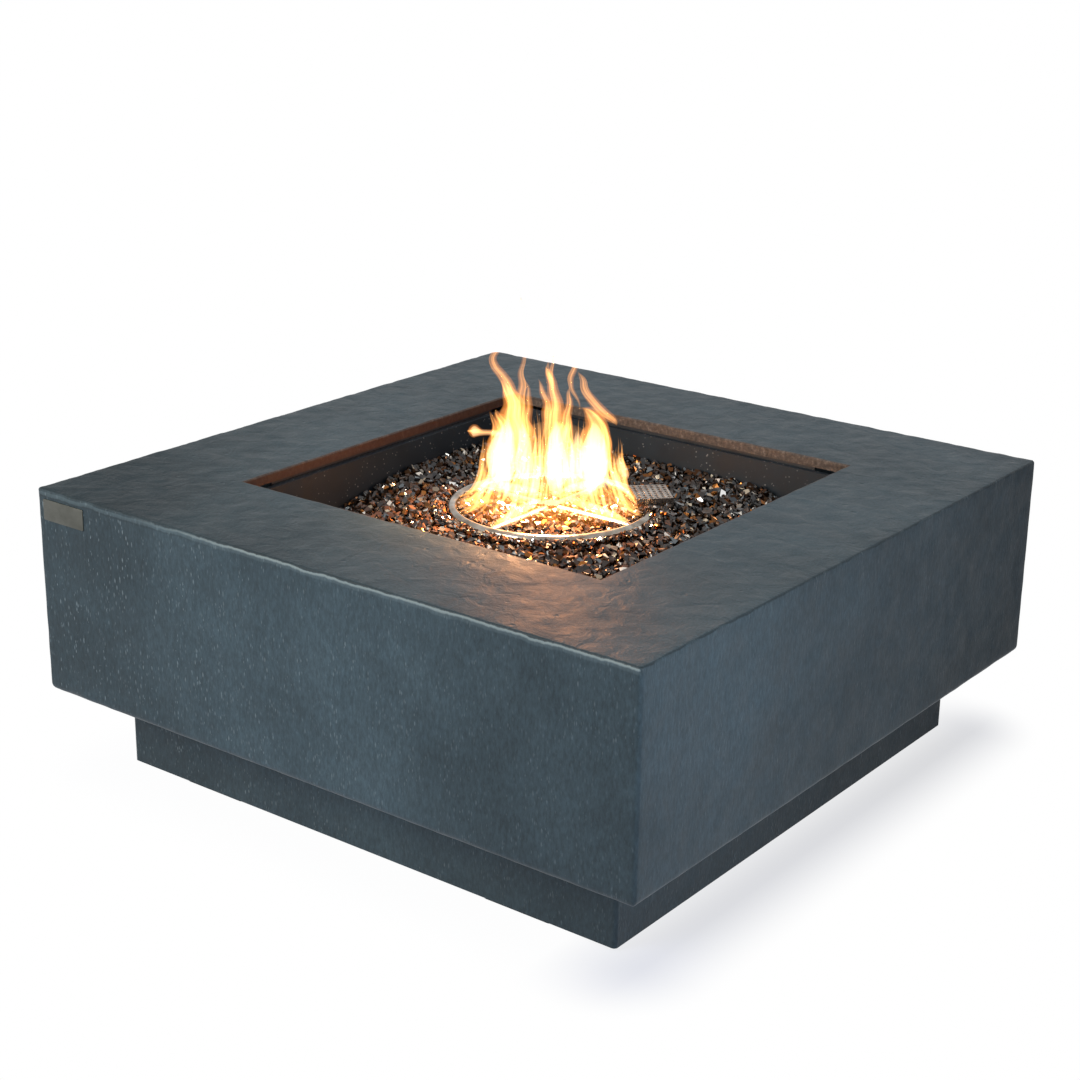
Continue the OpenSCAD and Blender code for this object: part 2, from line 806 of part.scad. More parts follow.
// Pan dropped into the opening: four folded walls, mitred at the corners, round a floor plate
module burner_pan() {
    base = pan_floor - pan_t;
    reach = pan_mouth + pan_flange_w;
    color("#1c1d1f")
    at_sides()
        intersection() {
            difference() {
                union() {
                    square_funnel(pan_half(base) + pan_t, pan_mouth + pan_t, base, pan_top);
                    square_hole(reach, pan_top - pan_t, pan_top);
                }
                square_funnel(pan_half(base - cut), pan_half(pan_top + cut), base - cut, pan_top + cut);
            }
            translate([0, 0, base])
                linear_extrude(pan_top - base)
                    polygon([[fit, 0], [fit + reach, reach], [fit + reach, -reach]]);
        }
}
module pan_plate() {
    base = pan_floor - pan_t;
    color("#1c1d1f")
    difference() {
        square_funnel(pan_half(base) - fit, pan_half(pan_floor) - fit, base, pan_floor);
        z_rod(base - cut, pan_floor + cut, nipple_d + 2 * clear);
        at_drains() z_rod(base - cut, pan_floor + cut, drain_d);
        translate(electrode_xy) z_rod(base - cut, pan_floor + cut, insulator_d + 2 * clear);
        translate(thermocouple_xy) z_rod(base - cut, pan_floor + cut, thermocouple_d + 2 * clear);
    }
}
module at_drains() {
    for (x = [-1, 1], y = [-1, 1]) translate([x * drain_x, y * drain_x, 0]) children();
}

// Ring tube with ports on its inner shoulder
module burner_ring() {
    color("silver")
    difference() {
        torus(ring_r, ring_d);
        torus(ring_r, ring_d - 2 * burner_t);
        for (q = [0:90:270], i = [0:ring_ports - 1])
            rotate([0, 0, q + 90 * (i + 0.5) / ring_ports])
                translate([ring_r, 0, ring_z])
                    rotate([0, -ring_port_lean, 0]) port(ring_d, 90);
    }
}

// A gas port drilled from a tube's middle, with its seam turned out of the tube's own plane
module port(depth, turn) {
    rotate([0, 0, turn]) cylinder(h = depth, d = port_d, $fn = 16);
}

// Four tubes from the hub to the ring, with ports on their upper sides
module burner_cross() {
    step = (ring_r - hub_r) / (cross_ports + 1);
    color("silver")
    at_sides()
        difference() {
            translate([0, 0, ring_z]) rotate([0, 90, 0])
                difference() {
                    cylinder(h = ring_r, d = cross_d);
                    translate([0, 0, -cut]) cylinder(h = ring_r + 2 * cut, d = cross_d - 2 * burner_t);
                }
            z_rod(ring_z - ring_d, ring_z + ring_d, hub_d + 2 * fit);
            torus(ring_r, ring_d + 2 * fit);
            outside_ring();
            for (i = [1:cross_ports], s = [-1, 1])
                translate([hub_r + step * i, 0, ring_z])
                    rotate([s * cross_port_lean, 0, 0]) port(cross_d, 0);
        }
}
module outside_ring() {
    translate([ring_r, -ring_d, ring_z - ring_d]) cube([ring_d, 2 * ring_d, 2 * ring_d]);
}

// Hub with its collar on the pan and a nipple through the pan's floor
module burner_hub() {
    bore = nipple_d - 2 * nipple_t;
    color("silver")
    difference() {
        union() {
            z_rod(pan_floor + hub_collar_t, ring_z + ring_d / 2, hub_d);
            z_rod(pan_floor, pan_floor + hub_collar_t, hub_collar_d);
            z_rod(nipple_end, pan_floor, nipple_d);
        }
        z_rod(nipple_end - cut, ring_z + ring_d / 2 - nipple_t, bore);
        at_sides()
            translate([0, 0, ring_z]) rotate([0, 90, 0]) cylinder(h = hub_d, d = cross_d - 2 * burner_t);
    }
}
module hub_locknut() {
    top = pan_floor - pan_t;
    color("silver")
    difference() {
        z_hex(top - locknut_h, top, locknut_af);
        z_rod(top - locknut_h - cut, top + cut, nipple_d + 2 * fit);
    }
}

// Posts from the pan's floor, each cut to a saddle under the ring
module burner_stands() {
    color("silver")
    difference() {
        at_stands() z_rod(pan_floor, ring_z, stand_d);
        torus(ring_r, ring_d + 2 * fit);
    }
}
module at_stands() {
    at_sides() rotate([0, 0, stand_az]) translate([ring_r, 0, 0]) children();
}

// Tube under the nipple with slots for air, and the jet in its bottom
module air_mixer() {
    color("gray")
    difference() {
        z_rod(mixer_end, mixer_top, mixer_d);
        z_rod(mixer_end + mixer_floor, mixer_top + cut, nipple_d + 2 * fit);
        z_rod(mixer_end - cut, mixer_end + mixer_floor + cut, spud_d + 2 * fit);
        for (a = [0, 90])
            rotate([0, 0, a])
                translate([-mixer_d, -slot_w / 2, mixer_end + mixer_floor + spud_h])
                    cube([2 * mixer_d, slot_w, slot_h]);
    }
}
module gas_orifice() {
    color("goldenrod")
    difference() {
        union() {
            z_rod(mixer_end, mixer_end + mixer_floor + spud_h, spud_d);
            z_hex(mixer_end - flare_k, mixer_end, flare_af);
            z_rod(orifice_end, mixer_end - flare_k, stub_d);
        }
        z_rod(mixer_end, mixer_end + mixer_floor + spud_h + cut, jet_d);
        z_rod(orifice_end - cut, mixer_end, gas_bore);
    }
}

// Loose glass: a level bed that fills the pan
module fire_glass_bed() {
    color("#3a2f28")
    difference() {
        square_funnel(pan_half(pan_floor) - clear, pan_half(bed_top) - clear, pan_floor, bed_top);
        z_rod(pan_floor - cut, pan_floor + hub_collar_t + clear, hub_collar_d + 2 * clear);
        z_rod(pan_floor, bed_top + cut, hub_d + 2 * clear);
        at_stands() z_rod(pan_floor - cut, bed_top + cut, stand_d + 2 * clear);
        rotate([0, 0, guard_az])
            translate([guard_r - guard_l / 2 - clear, -guard_w / 2 - clear, pan_floor - cut])
                cube([guard_l + 2 * clear, guard_w + 2 * clear, bed_top - pan_floor + 2 * cut]);
    }
}

// Top layer of chips: a jittered hexagonal grid laid on the bed, left out round the burner
chip_rows = ceil(2 * pan_mouth / (chip_pitch * sin(60)));
chip_cols = ceil(2 * pan_mouth / chip_pitch);
chip_count = chip_rows * chip_cols;
chip_jitter = (chip_pitch / 2 - chip_r) / 2;
chip_foot = 0.75;
chip_crown = 0.35;
chip_thin = 0.55;
chip_twist = 25;
chip_seat = 0.1;
chip_turn = rands(0, 360, chip_count, 11);
chip_dx = rands(-chip_jitter, chip_jitter, chip_count, 12);
chip_dy = rands(-chip_jitter, chip_jitter, chip_count, 13);
chip_shape = rands(0, 1, 8 * chip_count, 14);
chip_room = chip_r + clear;
function chip_xy(i, j) =
    let (k = i * chip_cols + j)
    [
        (j - (chip_cols - 1) / 2 + (i % 2) / 2 - 0.25) * chip_pitch + chip_dx[k],
        (i - (chip_rows - 1) / 2) * chip_pitch * sin(60) + chip_dy[k]
    ];
function by_ring(p) = abs(norm(p) - ring_r) < ring_d / 2 + chip_room;
function by_cross(p) = norm(p) < ring_r && min(abs(p[0]), abs(p[1])) < cross_d / 2 + chip_room;
function chip_height(p) =
    by_ring(p) || by_cross(p)
        ? min(chip_h, ring_z - ring_d / 2 - loose - bed_top)
        : chip_h;
function clear_of_hub(p) = norm(p) > hub_collar_d / 2 + chip_room;
function clear_of_stands(p) =
    min([
        for (a = [0:90:270])
            norm(p - ring_r * [cos(a + stand_az), sin(a + stand_az)])
    ]) > stand_d / 2 + chip_room;
function clear_of_guard(p) =
    let (q = [
        p[0] * cos(guard_az) + p[1] * sin(guard_az) - guard_r,
        p[1] * cos(guard_az) - p[0] * sin(guard_az)
    ])
    abs(q[0]) > guard_l / 2 + chip_room || abs(q[1]) > guard_w / 2 + chip_room;
function in_pan(p) =
    max(abs(p[0]), abs(p[1])) < pan_half(bed_top) - chip_room - clear;
function chip_stays(p) =
    in_pan(p) && clear_of_hub(p) && clear_of_stands(p) && clear_of_guard(p);
module chip(k, height) {
    foot = [
        for (c = [0:3])
            let (r = chip_r * (chip_foot + (1 - chip_foot) * chip_shape[8 * k + c]), a = 90 * c)
            [r * cos(a), r * sin(a), 0]
    ];
    crown = [
        for (c = [0:3])
            let (
                v = chip_shape[8 * k + 4 + c],
                r = chip_r * chip_crown * (1 + v),
                a = 90 * c + chip_twist * v
            )
            [r * cos(a), r * sin(a), height * (1 - (1 - chip_thin) * v)]
    ];
    sides = [
        for (c = [0:3], upper = [0, 1])
            let (n = (c + 1) % 4)
            upper == 0 ? [c, 4 + c, 4 + n] : [c, 4 + n, n]
    ];
    polyhedron(concat(foot, crown), concat([[0, 1, 2], [0, 2, 3], [7, 6, 5], [7, 5, 4]], sides));
}
module fire_glass_chips() {
    color("#5a4a40")
    for (i = [0:chip_rows - 1], j = [0:chip_cols - 1]) {
        p = chip_xy(i, j);
        k = i * chip_cols + j;
        if (chip_stays(p))
            translate([p[0], p[1], bed_top + chip_seat])
                rotate([0, 0, chip_turn[k]]) chip(k, chip_height(p));
    }
}

// Perforated cage over the ring, open below and notched where the ring runs through
module at_guard() {
    rotate([0, 0, guard_az]) translate([guard_r, 0, 0]) children();
}
function hole_row(span) =
    let (n = floor((span - perf_pitch) / perf_pitch))
    [for (i = [0:n]) (i - n / 2) * perf_pitch];
module igniter_guard() {
    top = pan_floor + guard_h;
    notch_x = sqrt(ring_r * ring_r - guard_w * guard_w / 4) - guard_r;
    notch_w = ring_d + 2 * notch_gap;
    rows = [top - perf_pitch, top - 2 * perf_pitch];
    color("lightgray")
    at_guard()
        difference() {
            translate([-guard_l / 2, -guard_w / 2, pan_floor]) cube([guard_l, guard_w, guard_h]);
            translate([guard_t - guard_l / 2, guard_t - guard_w / 2, pan_floor - cut])
                cube([guard_l - 2 * guard_t, guard_w - 2 * guard_t, guard_h + cut - guard_t]);
            translate([notch_x - notch_w / 2, -guard_w, pan_floor - cut])
                cube([notch_w, 2 * guard_w, ring_h + ring_d / 2 + notch_gap + cut]);
            for (x = hole_row(guard_l), y = hole_row(guard_w))
                translate([x, y, 0]) z_rod(top - guard_t - cut, top + cut, perf_d);
            for (y = hole_row(guard_w), z = rows)
                translate([-guard_l, y, z]) rotate([0, 90, 0]) cylinder(h = 2 * guard_l, d = perf_d);
        }
}

// Pilot bracket: foot on the pan, upright and shelf with two holes
module pilot_bracket() {
    width = pilot_w + 2 * insulator_d;
    back = guard_in + clear - guard_r;
    color("silver")
    at_guard()
        difference() {
            translate([back, -width / 2, pan_floor]) {
                cube([pilot_depth, width, pilot_t]);
                cube([pilot_t, width, pilot_shelf]);
                translate([0, 0, pilot_shelf - pilot_t]) cube([pilot_depth, width, pilot_t]);
            }
            translate([pilot_r - guard_r, -pilot_w / 2, 0])
                z_rod(pan_floor - cut, pan_floor + guard_h, insulator_d + 2 * fit);
            translate([pilot_r - guard_r, pilot_w / 2, 0])
                z_rod(pan_floor - cut, pan_floor + guard_h, thermocouple_d + 2 * fit);
        }
}
module electrode_insulator() {
    color("ivory")
    translate(electrode_xy)
        difference() {
            z_rod(pilot_end, pan_floor + pilot_shelf + insulator_d, insulator_d);
            z_rod(pilot_end - cut, pan_floor + pilot_shelf + insulator_d + cut, electrode_d + 2 * fit);
        }
}
module spark_electrode() {
    color("dimgray")
    translate(electrode_xy) z_rod(pilot_end, ring_z, electrode_d);
}
module thermocouple() {
    color("peru")
    translate(thermocouple_xy) {
        z_rod(pilot_end, pan_floor + pilot_shelf + thermocouple_d, thermocouple_d);
        z_rod(pan_floor + pilot_shelf + thermocouple_d, ring_z, tip_d);
    }
}

// Recessed tray in the back wall, its flange flush with the wall's face
module control_tray() {
    color("lightgray")
    translate([0, 0, control_z])
        difference() {
            union() {
                tray_block(tray_t, panel_back, half);
                tray_block(tray_flange, half - tray_t, half);
            }
            tray_block(0, panel_front, half + cut);
            translate([valve_x, 0, 0]) y_rod(panel_back - cut, panel_front + cut, stem_d + 2 * loose);
            at_valve_screws() y_rod(panel_back - cut, panel_front + cut, valve_screw_d + 2 * clear);
            translate([igniter_x, 0, 0]) y_rod(panel_back - cut, panel_front + cut, neck_d + 2 * clear);
        }
}
module at_valve_screws() {
    for (s = [-1, 1]) translate([valve_x + s * valve_screw_w / 2, 0, 0]) children();
}

// Gas valve with its flange behind the panel; the stem's bore and spring room are inside
module valve_body() {
    collar_back = collar_front - collar_room;
    color("goldenrod")
    translate([0, 0, control_z])
        difference() {
            translate([valve_x, 0, 0]) {
                translate([-valve_flange_l / 2, bonnet_front, -valve_flange_w / 2])
                    cube([valve_flange_l, valve_flange_t, valve_flange_w]);
                y_rod(body_front, bonnet_front, bonnet_d);
                y_rod(body_back, body_front, valve_d);
                y_rod(outlet_end, body_back, stub_d);
                translate([0, valve_mid, 0]) z_rod(-valve_d / 2 - valve_in_l, 0, valve_in_d);
                translate([0, valve_mid, 0])
                    rotate([0, 90, 0]) cylinder(h = valve_d / 2 + probe_l, d = probe_d);
            }
            translate([valve_x, 0, 0]) {
                y_rod(stem_back - stem_room, panel_back + cut, stem_d + 2 * fit);
                y_rod(collar_back, collar_front, collar_d + 2 * clear);
                y_rod(outlet_end - cut, body_back + valve_l / 2, gas_bore);
                translate([0, valve_mid, 0]) z_rod(-valve_d / 2 - valve_in_l - cut, 0, gas_bore);
            }
            at_valve_screws() y_rod(bonnet_front - cut, panel_back + cut, valve_screw_d + 2 * fit);
        }
}
module valve_screws() {
    color("silver")
    translate([0, 0, control_z])
        at_valve_screws() {
            y_rod(bonnet_front, panel_front, valve_screw_d);
            y_rod(panel_front, panel_front + valve_head_h, valve_head_d);
        }
}

// Stem with a flat for the knob, and the collar that its return spring pushes on
stem_front = knob_back + stem_reach;
module stem_flat(y0, y1, grow) {
    difference() {
        y_rod(y0, y1, stem_d + 2 * grow);
        translate([-stem_d, knob_back, stem_flat_z + grow]) cube([2 * stem_d, y1 - knob_back + cut, stem_d]);
    }
}
module valve_stem() {
    color("goldenrod")
    translate([valve_x, 0, control_z]) stem_flat(stem_back, stem_front, 0);
}
module stem_collar() {
    front = collar_front - clear;
    color("silver")
    translate([valve_x, 0, control_z])
        difference() {
            y_rod(front - collar_t, front, collar_d);
            y_rod(front - collar_t - cut, front + cut, stem_d + 2 * fit);
        }
}
module stem_spring() {
    color("silver")
    translate([valve_x, 0, control_z])
        coil(
            collar_front - collar_room,
            collar_front - clear - collar_t,
            (stem_d + collar_d) / 2,
            stem_wire_d
        );
}

module quarter_round(r) {
    intersection() {
        circle(r);
        square(r);
    }
}

// Knob: a skirt, a fluted grip with a rounded front, and a pointer rib
module control_knob() {
    grip_r = grip_d / 2;
    top_r = grip_r - knob_edge_r;
    top_h = knob_h - knob_edge_r;
    color("#202124")
    translate([valve_x, 0, control_z])
        difference() {
            union() {
                translate([0, knob_back, 0])
                    rotate([-90, 0, 0])
                        rotate_extrude() {
                            square([knob_d / 2, skirt_h]);
                            square([grip_r, top_h]);
                            square([top_r, knob_h]);
                            translate([top_r, top_h]) quarter_round(knob_edge_r);
                        }
                translate([-pointer_w / 2, knob_back + top_h, 0])
                    cube([pointer_w, knob_edge_r + pointer_w / 2, top_r]);
            }
            for (a = [0:360 / flutes:359])
                rotate([0, a, 0])
                    translate([grip_r + flute_d / 4, 0, 0])
                        y_rod(knob_back + skirt_h, knob_back + knob_h + cut, flute_d);
            translate([0, -cut, 0]) stem_flat(knob_back, stem_front + cut + clear, fit);
        }
}

// Push igniter: a hollow body behind the panel with a neck through it
module igniter_module() {
    color("#26272a")
    translate([igniter_x, 0, control_z])
        difference() {
            union() {
                y_rod(igniter_end, panel_back, igniter_d);
                y_rod(panel_back, panel_front + neck_l, neck_d);
            }
            y_rod(battery_back, panel_back, igniter_bore);
            y_rod(panel_back - cut, panel_front + neck_l + cut, button_d + 2 * fit);
        }
}
module igniter_nut() {
    color("silver")
    translate([igniter_x, 0, control_z])
        difference() {
            y_rod(panel_front, panel_front + igniter_nut_t, igniter_nut_d);
            y_rod(panel_front - cut, panel_front + igniter_nut_t + cut, neck_d + 2 * fit);
        }
}
module igniter_battery() {
    color("darkorange")
    translate([igniter_x, 0, control_z]) y_rod(battery_back, battery_back + battery_l, battery_d);
}
module button_spring() {
    color("silver")
    translate([igniter_x, 0, control_z])
        coil(battery_back + battery_l, shoulder_back, button_coil_d, button_wire_d);
}
module igniter_button() {
    top_r = cap_d / 2 - cap_edge_r;
    top_h = cap_h - cap_edge_r;
    color("#202124")
    translate([igniter_x, 0, control_z]) {
        y_rod(shoulder_back, shoulder_front, shoulder_d);
        y_rod(shoulder_front, cap_back, button_d);
        translate([0, cap_back, 0])
            rotate([-90, 0, 0])
                rotate_extrude() {
                    square([cap_d / 2, top_h]);
                    square([top_r, cap_h]);
                    translate([top_r, top_h]) quarter_round(cap_edge_r);
                }
    }
}

// Lines held inside the table
module supply_hose() {
    color("gray") line_along(hose_route, hose_d, 10);
}
module hose_nuts() {
    bore = stub_d + 2 * fit;
    color("goldenrod") {
        difference() {
            z_hex(orifice_end - nut_grip, orifice_end + nut_grip, flare_af);
            z_rod(orifice_end - nut_grip - cut, orifice_end + nut_grip + cut, bore);
        }
        translate([valve_x, 0, control_z])
            difference() {
                y_hex(outlet_end - nut_grip, outlet_end + nut_grip, flare_af);
                y_rod(outlet_end - nut_grip - cut, outlet_end + nut_grip + cut, bore);
            }
    }
}
module inlet_tube() {
    color("peru") line_along(inlet_route, inlet_tube_d, 10);
}
module thermocouple_lead() {
    color("peru") line_along(thermocouple_route, lead_d, 8);
}
module ignition_lead() {
    color("firebrick") line_along(ignition_route, lead_d, 8);
}

// Gas inlet through the plinth's back wall, with its locknut inside
module inlet_fitting() {
    hex_out = plinth_half + inlet_k;
    color("goldenrod")
    translate([valve_x, 0, inlet_z])
        difference() {
            union() {
                y_hex(plinth_half, hex_out, inlet_af);
                y_rod(hex_out, hex_out + inlet_l, inlet_d);
                y_rod(barrel_end, plinth_half, barrel_d);
                y_rod(tail_end, barrel_end, tail_d);
            }
            y_rod(tail_end - cut, hex_out + inlet_l + cut, gas_bore);
        }
}
module inlet_locknut() {
    color("goldenrod")
    translate([valve_x, 0, inlet_z])
        difference() {
            y_hex(wall_in - inlet_k, wall_in, inlet_af);
            y_rod(wall_in - inlet_k - cut, wall_in + cut, barrel_d + 2 * fit);
        }
}

concrete_shell();
plinth();
foot_pads();
frame_long_bars();
frame_cross_bars();
shell_brackets();
bracket_bolts();
bracket_nuts();
plinth_bolts();
pan_rails();
rail_nuts();
burner_pan();
pan_plate();
burner_ring();
burner_cross();
burner_hub();
hub_locknut();
burner_stands();
air_mixer();
gas_orifice();
fire_glass_bed();
fire_glass_chips();
igniter_guard();
pilot_bracket();
electrode_insulator();
spark_electrode();
thermocouple();
control_tray();
valve_body();
valve_screws();
valve_stem();
stem_collar();
stem_spring();
control_knob();
igniter_module();
igniter_nut();
igniter_battery();
button_spring();
igniter_button();
supply_hose();
hose_nuts();
inlet_tube();
thermocouple_lead();
ignition_lead();
inlet_fitting();
inlet_locknut();
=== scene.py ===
import json
import math

import bmesh
import bpy
import numpy as np
from mathutils import Matrix, Vector


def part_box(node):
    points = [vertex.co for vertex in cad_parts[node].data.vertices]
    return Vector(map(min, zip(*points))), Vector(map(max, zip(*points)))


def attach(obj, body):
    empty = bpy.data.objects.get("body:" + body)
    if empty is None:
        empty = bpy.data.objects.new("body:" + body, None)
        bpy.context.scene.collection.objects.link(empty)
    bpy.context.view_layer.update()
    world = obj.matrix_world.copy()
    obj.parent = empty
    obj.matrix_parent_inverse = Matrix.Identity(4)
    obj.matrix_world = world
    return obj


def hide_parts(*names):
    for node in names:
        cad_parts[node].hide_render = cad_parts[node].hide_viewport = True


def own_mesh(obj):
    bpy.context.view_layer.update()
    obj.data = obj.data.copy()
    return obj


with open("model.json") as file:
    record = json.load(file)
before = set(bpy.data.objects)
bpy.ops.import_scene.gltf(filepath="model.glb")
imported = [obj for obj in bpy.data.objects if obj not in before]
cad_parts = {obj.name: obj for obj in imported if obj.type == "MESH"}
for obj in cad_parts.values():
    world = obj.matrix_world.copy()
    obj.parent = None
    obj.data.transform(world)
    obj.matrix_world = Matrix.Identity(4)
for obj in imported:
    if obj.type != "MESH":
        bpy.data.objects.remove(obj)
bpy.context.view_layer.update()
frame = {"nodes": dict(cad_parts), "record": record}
nodes = frame["nodes"]
mm = 0.001
print("frame loaded:", len(nodes), "nodes")


class Form(dict):  # a piece's measures, read as form.name
    __getattr__ = dict.__getitem__


def lengths(**values):  # mm to metres, alone or in a tuple
    return {k: tuple(x * mm for x in v) if isinstance(v, tuple) else v * mm for k, v in values.items()}


# small tools for meshes
def meshPiece(name, points, quads, finish, smooth=30.0, weld=False):
    # a mesh from arrays: points (n, 3) and quads (m, 4), creased where faces turn more than smooth degrees
    mesh = bpy.data.meshes.new(name)
    mesh.vertices.add(len(points))
    mesh.vertices.foreach_set("co", np.ascontiguousarray(points, np.float32).ravel())
    mesh.loops.add(quads.size)
    mesh.loops.foreach_set("vertex_index", np.ascontiguousarray(quads, np.int32).ravel())
    mesh.polygons.add(len(quads))
    mesh.polygons.foreach_set("loop_start", np.arange(0, quads.size, 4, dtype=np.int32))
    mesh.update(calc_edges=True)
    if weld:  # rows drawn in to one point become a pole
        work = bmesh.new()
        work.from_mesh(mesh)
        bmesh.ops.remove_doubles(work, verts=work.verts, dist=0.001 * mm)
        bmesh.ops.recalc_face_normals(work, faces=work.faces)
        work.to_mesh(mesh)
        work.free()
    mesh.polygons.foreach_set("use_smooth", np.full(len(mesh.polygons), smooth > 0))
    if smooth > 0:
        mesh.set_sharp_from_angle(angle=math.radians(smooth))
    mesh.materials.append(finish)
    piece = bpy.data.objects.new(name, mesh)
    bpy.context.scene.collection.objects.link(piece)
    return piece


def gridQuads(rows, columns, wrapRows=False, wrapColumns=False):
    # corner numbers of a grid's cells, (cells down, cells across, 4), wrapping where the grid is a loop
    down = np.arange(rows if wrapRows else rows - 1)[:, None]
    across = np.arange(columns if wrapColumns else columns - 1)[None, :]
    below, beside = (down + 1) % rows, (across + 1) % columns
    return np.stack(np.broadcast_arrays(down * columns + across, below * columns + across,
                                        below * columns + beside, down * columns + beside), -1)


def waves(points, shortest, longest, count, seed):
    # smooth uneven field: a sum of plane waves in random directions, between two wavelengths, about -1 to 1
    rng = np.random.default_rng(seed)
    way = rng.normal(size=(count, 3))
    way *= (2 * np.pi / rng.uniform(shortest, longest, count) / np.linalg.norm(way, axis=1))[:, None]
    return np.cos(points @ way.T + rng.uniform(0, 2 * np.pi, count)).sum(-1) * math.sqrt(2 / count) / 2


# small tools for finishes and lamps
def linear(hexColour):  # sRGB hex to linear RGBA
    parts = [int(hexColour[i:i + 2], 16) / 255 for i in (1, 3, 5)]
    return tuple(c / 12.92 if c <= 0.04045 else ((c + 0.055) / 1.055) ** 2.4 for c in parts) + (1.0,)


def addNode(kind, inputs=None, ramp=None, **settings):
    # one node with its settings; an input that is a socket is linked, a hex colour made linear, the rest set
    node = tree.nodes.new("ShaderNode" + kind)
    for key, value in settings.items():
        setattr(node, key, value)
    if ramp:  # stops of a place and a hex colour or a grey value
        stops = node.color_ramp.elements
        stops[0].position, stops[1].position = ramp[0][0], ramp[-1][0]
        for place, colour in ramp[1:-1]:
            stops.new(place)
        for stop, (place, colour) in zip(stops, ramp):
            stop.color = linear(colour) if isinstance(colour, str) else (colour, colour, colour, 1.0)
    for key, value in (inputs or {}).items():
        if isinstance(value, bpy.types.NodeSocket):
            tree.links.new(value, node.inputs[key])
        else:
            node.inputs[key].default_value = linear(value) if isinstance(value, str) else value
    return node


def newFinish(name):  # nodes are added to the finish that was begun last
    global tree
    finish = bpy.data.materials.new(name)
    finish.use_nodes = True
    tree = finish.node_tree
    tree.nodes.clear()
    return finish


def setSurface(inputs):
    shader = addNode("BsdfPrincipled", inputs)
    addNode("OutputMaterial", {"Surface": shader.outputs[0]})


def mathNode(operation, *values, **settings):
    return addNode("Math", dict(enumerate(values)), operation=operation, **settings).outputs[0]


def times(first, second):
    return mathNode("MULTIPLY", first, second)


def vectorNode(operation, *values):
    return addNode("VectorMath", dict(enumerate(values)), operation=operation).outputs


def axesOf(vector):
    return addNode("SeparateXYZ", {0: vector}).outputs


def mapRange(value, start, end, low=0.0, high=1.0, **settings):
    # low where the value is at its start, high at its end, held beyond both
    inputs = {0: value, 1: start, 2: end, 3: low, 4: high}
    return addNode("MapRange", inputs, **settings).outputs[0]


def rampOf(value, *stops):
    return addNode("ValToRGB", {0: value}, ramp=stops).outputs[0]


def mixValue(share, first, second):
    return addNode("Mix", {0: share, 2: first, 3: second}).outputs[0]


def mixColour(share, first, second, blend="MIX"):
    inputs = {0: share, 6: first, 7: second}
    return addNode("Mix", inputs, data_type="RGBA", blend_type=blend).outputs[2]


def noise(place, sizeMm, detail, roughness=0.5, distortion=0.0):
    # uneven patches about sizeMm across
    return addNode("TexNoise", {
        "Vector": place, "Scale": 1 / (sizeMm * mm), "Detail": detail, "Roughness": roughness,
        "Distortion": distortion}).outputs[0]


def cells(place, sizeMm):
    # cells about sizeMm across: the distance from a cell's middle, in cells, and the cell's own chance
    found = addNode("TexVoronoi", {"Vector": place, "Scale": 1 / (sizeMm * mm)}).outputs
    return found["Distance"], addNode("SeparateColor", {0: found["Color"]}).outputs[0]


def stretched(place, scale):
    return addNode("Mapping", {0: place, "Scale": scale}).outputs[0]


def bump(height, strength, depth, normal=None):
    inputs = {"Height": height, "Strength": strength, "Distance": depth}
    if normal is not None:
        inputs["Normal"] = normal
    return addNode("Bump", inputs).outputs[0]


def seenByEye():
    # 1 for what the camera sees, directly, mirrored or through glass
    path = addNode("LightPath").outputs
    seen = mathNode("MAXIMUM", path["Is Camera Ray"], path["Is Glossy Ray"])
    return mathNode("MAXIMUM", seen, path["Is Transmission Ray"])


def addLamp(name, kind, place, aim, colour, watts, **settings):
    lamp = bpy.data.lights.new(name, kind)
    lamp.color, lamp.energy = colour, watts
    for key, value in settings.items():
        setattr(lamp, key, value)
    holder = bpy.data.objects.new(name, lamp)
    holder.location = place
    if aim:
        holder.rotation_euler = (Vector(aim) - Vector(place)).to_track_quat("-Z", "Y").to_euler()
    bpy.context.scene.collection.objects.link(holder)


